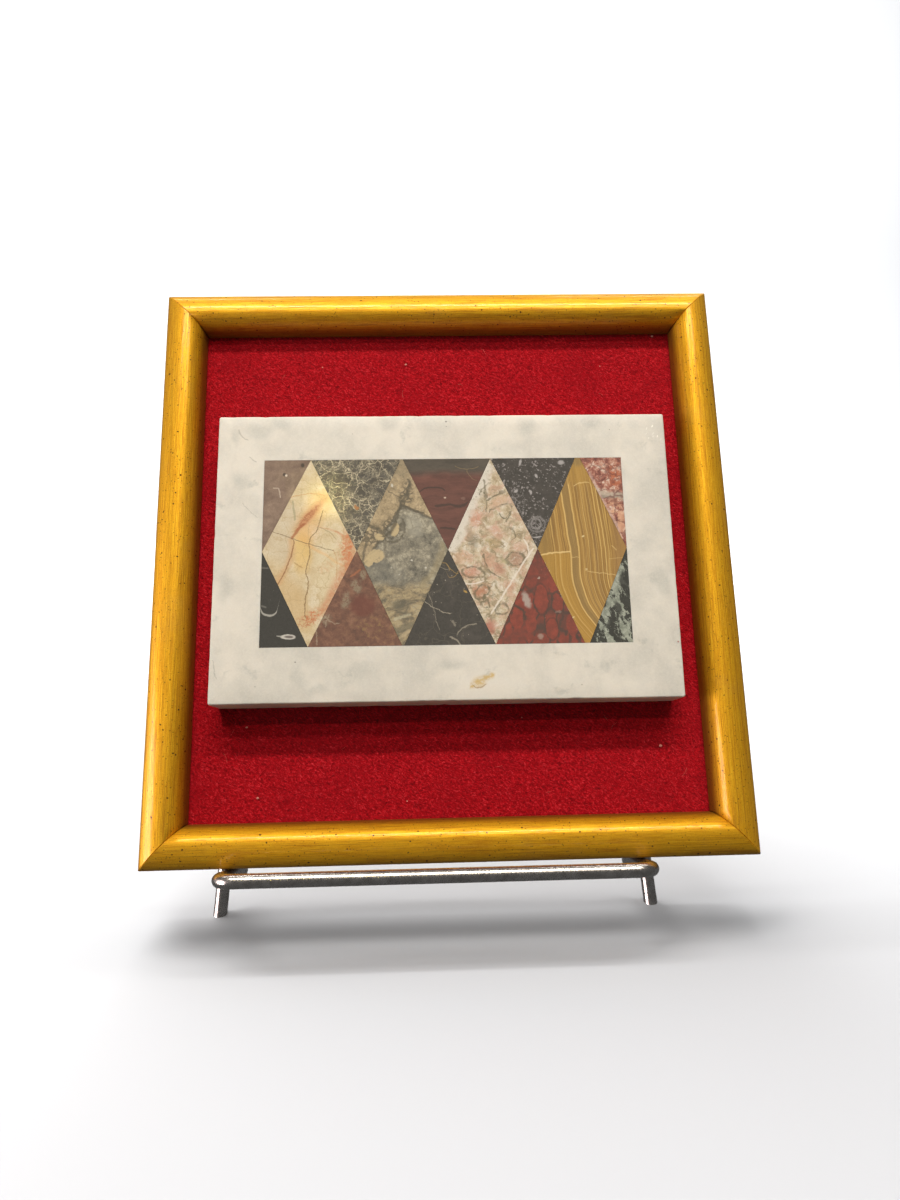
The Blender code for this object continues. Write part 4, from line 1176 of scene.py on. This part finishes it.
def chrome_material():
    g = Graph("tarnished_chrome")
    haze = g.noise(g.place, 0.35, 5.0, 0.65)
    pits = g.specks(g.warped(g.place, 1.5, 0.4), 0.9, 0.16, 0.08)
    pits = g.times(pits, g.patches(g.place, 0.16, 2.0, 0.5, 0.5, 0.6))
    colour = g.ramp(haze, (0.35, (0.40, 0.36, 0.32)), (0.65, (0.60, 0.55, 0.50)))
    brushed = g.noise(g.place, 2.2, 4.0, 0.8)
    colour = g.mix(g.step(brushed, 0.52, 0.68, 0.0, 0.3), colour, (0.26, 0.22, 0.19))
    colour = g.mix(g.times(pits, 0.8), colour, (0.12, 0.09, 0.07))
    roughness = g.math("ADD", g.step(brushed, 0.35, 0.7, 0.22, 0.36), g.times(pits, 0.4))
    return g.finish(colour, roughness, g.bump(haze, 0.1, 0.0002), Metallic=1.0)


def bent_path(corners):
    """A path through corner points, with round bends and short steps between them."""
    path = [corners[0]]
    for before, corner, after in zip(corners, corners[1:], corners[2:]):
        back, ahead = (before - corner).normalized(), (after - corner).normalized()
        half_angle = back.angle(ahead) / 2
        centre = corner + (back + ahead).normalized() * (BEND_RADIUS / math.sin(half_angle))
        start = corner + back * (BEND_RADIUS / math.tan(half_angle)) - centre
        end = corner + ahead * (BEND_RADIUS / math.tan(half_angle)) - centre
        turn, axis = start.angle(end), start.cross(end).normalized()
        for i in range(BEND_STEPS + 1):
            path.append(centre + Matrix.Rotation(turn * i / BEND_STEPS, 3, axis) @ start)
    path.append(corners[-1])
    fine = [path[0]]
    for near, far in zip(path, path[1:]):
        count = max(1, int((far - near).length / ROD_STATION))
        fine += [near.lerp(far, i / count) for i in range(1, count + 1)]
    return fine


def make_rod(name, corners, material, replaced, flat_end=None):
    """A round rod, drawn a little unevenly; its ends are rounded, or flat across flat_end."""
    path = bent_path(corners)
    first = (path[1] - path[0]).normalized()
    side = first.orthogonal().normalized()
    spokes = [Matrix.Rotation(2 * math.pi * i / ROD_SIDES, 3, first) @ side for i in range(ROD_SIDES)]
    ring = [path[0] + spoke * ROD_RADIUS for spoke in spokes]
    rings = []
    for i, point in enumerate(path):
        arriving = (point - path[i - 1]).normalized() if i else first
        leaving = (path[i + 1] - point).normalized() if i + 1 < len(path) else arriving
        cut = flat_end is not None and i in (0, len(path) - 1)
        normal = flat_end if cut else arriving + leaving
        ring = [corner + arriving * ((point - corner).dot(normal) / arriving.dot(normal)) for corner in ring]
        drawn = []
        for corner in ring:
            wave = 0.0 if cut else (0.5 + 0.5 * noise.noise(corner * ROD_FREQUENCY)) * ROD_WAVE
            drawn.append(corner + (point - corner).normalized() * wave)
        rings.append(drawn)
    if flat_end is None:
        rings = round_end(rings[0], path[0], first) + rings[1:-1]
        rings += reversed(round_end(ring, path[-1], (path[-2] - path[-1]).normalized()))
    bm = bmesh.new()
    loft(bm, rings)
    add_piece(name, bm, material, replaced, placing=Matrix.Identity(4))


def round_end(ring, centre, inward):
    """Rings that close a rod's end with a small rounded edge."""
    rings = []
    for i in range(END_STEPS + 1):
        angle = math.pi / 2 * i / END_STEPS
        inset = 1 - END_ROUND * (1 - math.sin(angle)) / ROD_RADIUS
        depth = END_ROUND * (1 - math.cos(angle))
        rings.append([centre + (corner - centre) * inset + inward * depth for corner in ring])
    return rings


def half_spacing_at(level):
    """Half the spread of the upright's legs at a level of the panel's frame."""
    at_ledge = ARM_HALF_SPACING + ROD_PITCH / math.cos(LEG_SPLAY)
    return at_ledge - (level - LEDGE_LEVEL) * math.tan(LEG_SPLAY)


def make_easel():
    """A ledge with its arms, an upright that it is welded to, and a prop behind the upright."""
    chrome = chrome_material()
    up = Vector((0.0, 0.0, 1.0))
    tail = UPRIGHT_DEPTH - ROD_RADIUS - ARM_TAIL
    ledge = []
    for side, depth in ((-1, tail), (-1, LEDGE_REACH), (1, LEDGE_REACH), (1, tail)):
        ledge.append(PANEL @ Vector((EASEL_SHIFT + side * ARM_HALF_SPACING, LEDGE_LEVEL, depth)))
    make_rod("ledge_rod", ledge, chrome, ("easel_ledge",))

    top, foot = LEDGE_LEVEL + UPRIGHT_HEIGHT, LEDGE_LEVEL - FOOT_LENGTH
    upright = []
    for side, level in ((-1, foot), (-1, top), (1, top), (1, foot)):
        across = EASEL_SHIFT + side * half_spacing_at(level)
        upright.append(PANEL @ Vector((across, level, UPRIGHT_DEPTH)))
    for corner in (upright[0], upright[-1]):
        corner.z = 0.0
    make_rod("upright_rod", upright, chrome, ("easel_upright",), up)

    shoulder = upright[1] + Vector((0.0, ROD_PITCH, 0.0))
    reach = shoulder.z / math.cos(PROP_ANGLE)
    foot_place = shoulder + Vector((0.0, math.sin(PROP_ANGLE), -math.cos(PROP_ANGLE))) * reach
    middle = ORIGIN.x + EASEL_SHIFT
    spread = half_spacing_at(top) + reach * math.tan(LEG_SPLAY)
    leg = ((foot_place, spread), (shoulder, half_spacing_at(top)))
    prop = [Vector((middle - half, point.y, point.z)) for point, half in leg]
    prop += [Vector((middle + half, point.y, point.z)) for point, half in reversed(leg)]
    make_rod("prop_rod", prop, chrome, ("easel_prop",), up)


# Stage

CAMERA_PLACE = Vector((-7.7, -80.4, 291.9)) * MM
CAMERA_AXIS = Vector((0.0299, 0.2155, -0.9761))
CAMERA_UP = Vector((0.0181, 0.9762, 0.2161))
FOCAL_PIXELS = 832.0
PHOTO_HEIGHT = 1200.0
SENSOR = 36.0


def make_camera():
    data = bpy.data.cameras.new("camera")
    data.sensor_fit = "VERTICAL"
    data.sensor_height = SENSOR
    data.sensor_width = SENSOR
    data.lens = FOCAL_PIXELS / PHOTO_HEIGHT * SENSOR
    camera = bpy.data.objects.new("camera", data)
    bpy.context.scene.collection.objects.link(camera)
    axis, up = CAMERA_AXIS.normalized(), CAMERA_UP
    right = axis.cross(up).normalized()
    up = right.cross(axis)
    turn = Matrix((right, up, -axis)).transposed().to_4x4()
    camera.matrix_world = PANEL @ Matrix.Translation(CAMERA_PLACE) @ turn
    data.clip_start = 0.01
    bpy.context.scene.camera = camera


FLOOR_HALF_WIDTH = 14.0
FLOOR_HALF_LENGTH = 3.0
FLOOR_BEND = 1.5
FLOOR_BEND_STEPS = 12
BACKDROP_TOP = 5.0
FLOOR_COLOUR = (0.64, 0.645, 0.655, 1.0)


def make_floor():
    """A pale floor that curves up into a backdrop behind the panel, and again in front of it."""
    bm = bmesh.new()
    curve = [(FLOOR_HALF_LENGTH, 0.0)]
    for i in range(1, FLOOR_BEND_STEPS + 1):
        angle = math.pi / 2 * i / FLOOR_BEND_STEPS
        curve.append((FLOOR_HALF_LENGTH + FLOOR_BEND * math.sin(angle), FLOOR_BEND * (1 - math.cos(angle))))
    curve.append((FLOOR_HALF_LENGTH + FLOOR_BEND, BACKDROP_TOP))
    profile = [(-y, z) for y, z in reversed(curve)] + curve
    rows = [[bm.verts.new((x, y, z)) for x in (-FLOOR_HALF_WIDTH, FLOOR_HALF_WIDTH)] for y, z in profile]
    for low, high in zip(rows, rows[1:]):
        bm.faces.new((low[0], low[1], high[1], high[0]))
    mesh = bpy.data.meshes.new("floor")
    bm.to_mesh(mesh)
    bm.free()
    mesh.shade_smooth()
    material = bpy.data.materials.new("pale_floor")
    material.use_nodes = True
    shader = material.node_tree.nodes["Principled BSDF"]
    shader.inputs["Base Color"].default_value = FLOOR_COLOUR
    shader.inputs["Roughness"].default_value = 0.9
    shader.inputs["Specular IOR Level"].default_value = 0.0
    mesh.materials.append(material)
    floor = bpy.data.objects.new("floor", mesh)
    floor.visible_diffuse = False
    floor.visible_glossy = False
    bpy.context.scene.collection.objects.link(floor)
    return floor


def add_light(name, place, aim, width, height, power, colour=(1.0, 1.0, 1.0)):
    data = bpy.data.lights.new(name, "AREA")
    data.shape = "RECTANGLE"
    data.size, data.size_y = width, height
    data.energy = power
    data.color = colour
    light = bpy.data.objects.new(name, data)
    bpy.context.scene.collection.objects.link(light)
    light.location = place
    light.rotation_mode = "QUATERNION"
    light.rotation_quaternion = (Vector(aim) - Vector(place)).to_track_quat("-Z", "Y")
    return light


def light_only(floor, lit, lights):
    """Has the lights reach only the floor, or everything but the floor."""
    group = bpy.data.collections.new("lit_floor" if lit else "lit_piece")
    group.objects.link(floor)
    group.collection_objects[0].light_linking.link_state = "INCLUDE" if lit else "EXCLUDE"
    for light in lights:
        light.light_linking.receiver_collection = group


AIM = (0.0, 0.0, 0.12)
LAMP_DISTANCE = 2.2
LAMP_SIZE = (2.0, 0.13)
LAMP_COLOUR = (1.0, 0.95, 0.88)
# rows of tubes overhead: name, elevation in degrees, power
LAMPS = (("middle_row", 52.7, 13.6), ("high_row", 66.4, 46.0))
# where the low lamp is mirrored to the camera, on the face of the stones
GLARE_SPOT = Vector((-41.2, 20.0, 9.0)) * MM
# each: width, height, power, colour
LOW_LAMP = (0.04, 0.04, 8.4, (1.0, 0.92, 0.80))
GLARE = (0.025, 0.025, 0.6, (1.0, 0.80, 0.22))
# each row: name, place, aim, width, height, power, colour
SIDE_LIGHTS = (
    ("window", (-1.0, -0.30, 0.05), AIM, 0.7, 0.5, 2.2, (1.0, 0.93, 0.95)),
    ("window_sheen", (-1.0, -0.45, 0.0), AIM, 0.5, 0.6, 11.0, (1.0, 0.86, 0.90)),
    ("rear", (0.5, 1.8, 1.1), AIM, 1.6, 1.2, 24.0, (1.0, 0.98, 0.95)),
)
FLOOR_LIGHTS = (
    ("floor_lamp", (-0.6, 0.85, 1.9), (0.0, 0.0, 0.0), 2.1, 1.9, 72.0, (1.0, 0.98, 0.97)),
    ("floor_fill", (0.0, -1.8, 2.4), (0.0, -0.2, 0.0), 3.0, 2.0, 42.0, (1.0, 0.99, 0.98)),
)
BACKDROP_POWER = 200.0
WORLD_COLOUR = (0.92, 0.95, 1.0, 1.0)
WORLD_STRENGTH = 0.13


def make_lights(floor):
    """Lights of the piece, which leave out the floor, and lights of the floor, which leave out the piece."""
    lights = []
    for name, elevation, power in LAMPS:
        angle = math.radians(elevation)
        place = (0.0, -LAMP_DISTANCE * math.cos(angle), AIM[2] + LAMP_DISTANCE * math.sin(angle))
        lights.append(add_light(name, place, AIM, *LAMP_SIZE, power, LAMP_COLOUR))
    view = (GLARE_SPOT - CAMERA_PLACE).normalized()
    mirrored = PANEL @ (GLARE_SPOT + Vector((view.x, view.y, -view.z)) * LAMP_DISTANCE)
    low = add_light("low_lamp", mirrored, PANEL @ GLARE_SPOT, *LOW_LAMP)
    low.visible_glossy = False
    glare = add_light("glare", mirrored, PANEL @ GLARE_SPOT, *GLARE)
    window, sheen, rear = [add_light(*row) for row in SIDE_LIGHTS]
    sheen.visible_diffuse = False
    rear.visible_camera = False
    light_only(floor, False, [*lights, low, glare, window, sheen, rear])
    floor_lights = [add_light(*row) for row in FLOOR_LIGHTS]
    for side in (-1.0, 1.0):
        add_light("backdrop", (side * 1.2, 0.9, 2.6), (side * 1.5, 4.2, 1.0), 1.6, 0.8, BACKDROP_POWER)
        place, aim = (side * 2.2, -2.2, 2.6), (side * 2.6, -4.2, 1.0)
        floor_lights.append(add_light("front_backdrop", place, aim, 3.0, 0.8, BACKDROP_POWER))
    light_only(floor, True, floor_lights)
    world = bpy.data.worlds.new("studio")
    bpy.context.scene.world = world
    world.use_nodes = True
    background = world.node_tree.nodes["Background"]
    background.inputs["Color"].default_value = WORLD_COLOUR
    background.inputs["Strength"].default_value = WORLD_STRENGTH
    settings = bpy.context.scene.view_settings
    settings.view_transform = "Standard"
    settings.look = "None"
    settings.exposure = 0.0


make_camera()
make_lights(make_floor())
make_frame()
make_felt()
make_slab()
make_stones()
make_easel()
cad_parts["backing_board"].data.materials.clear()
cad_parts["backing_board"].data.materials.append(board_material())
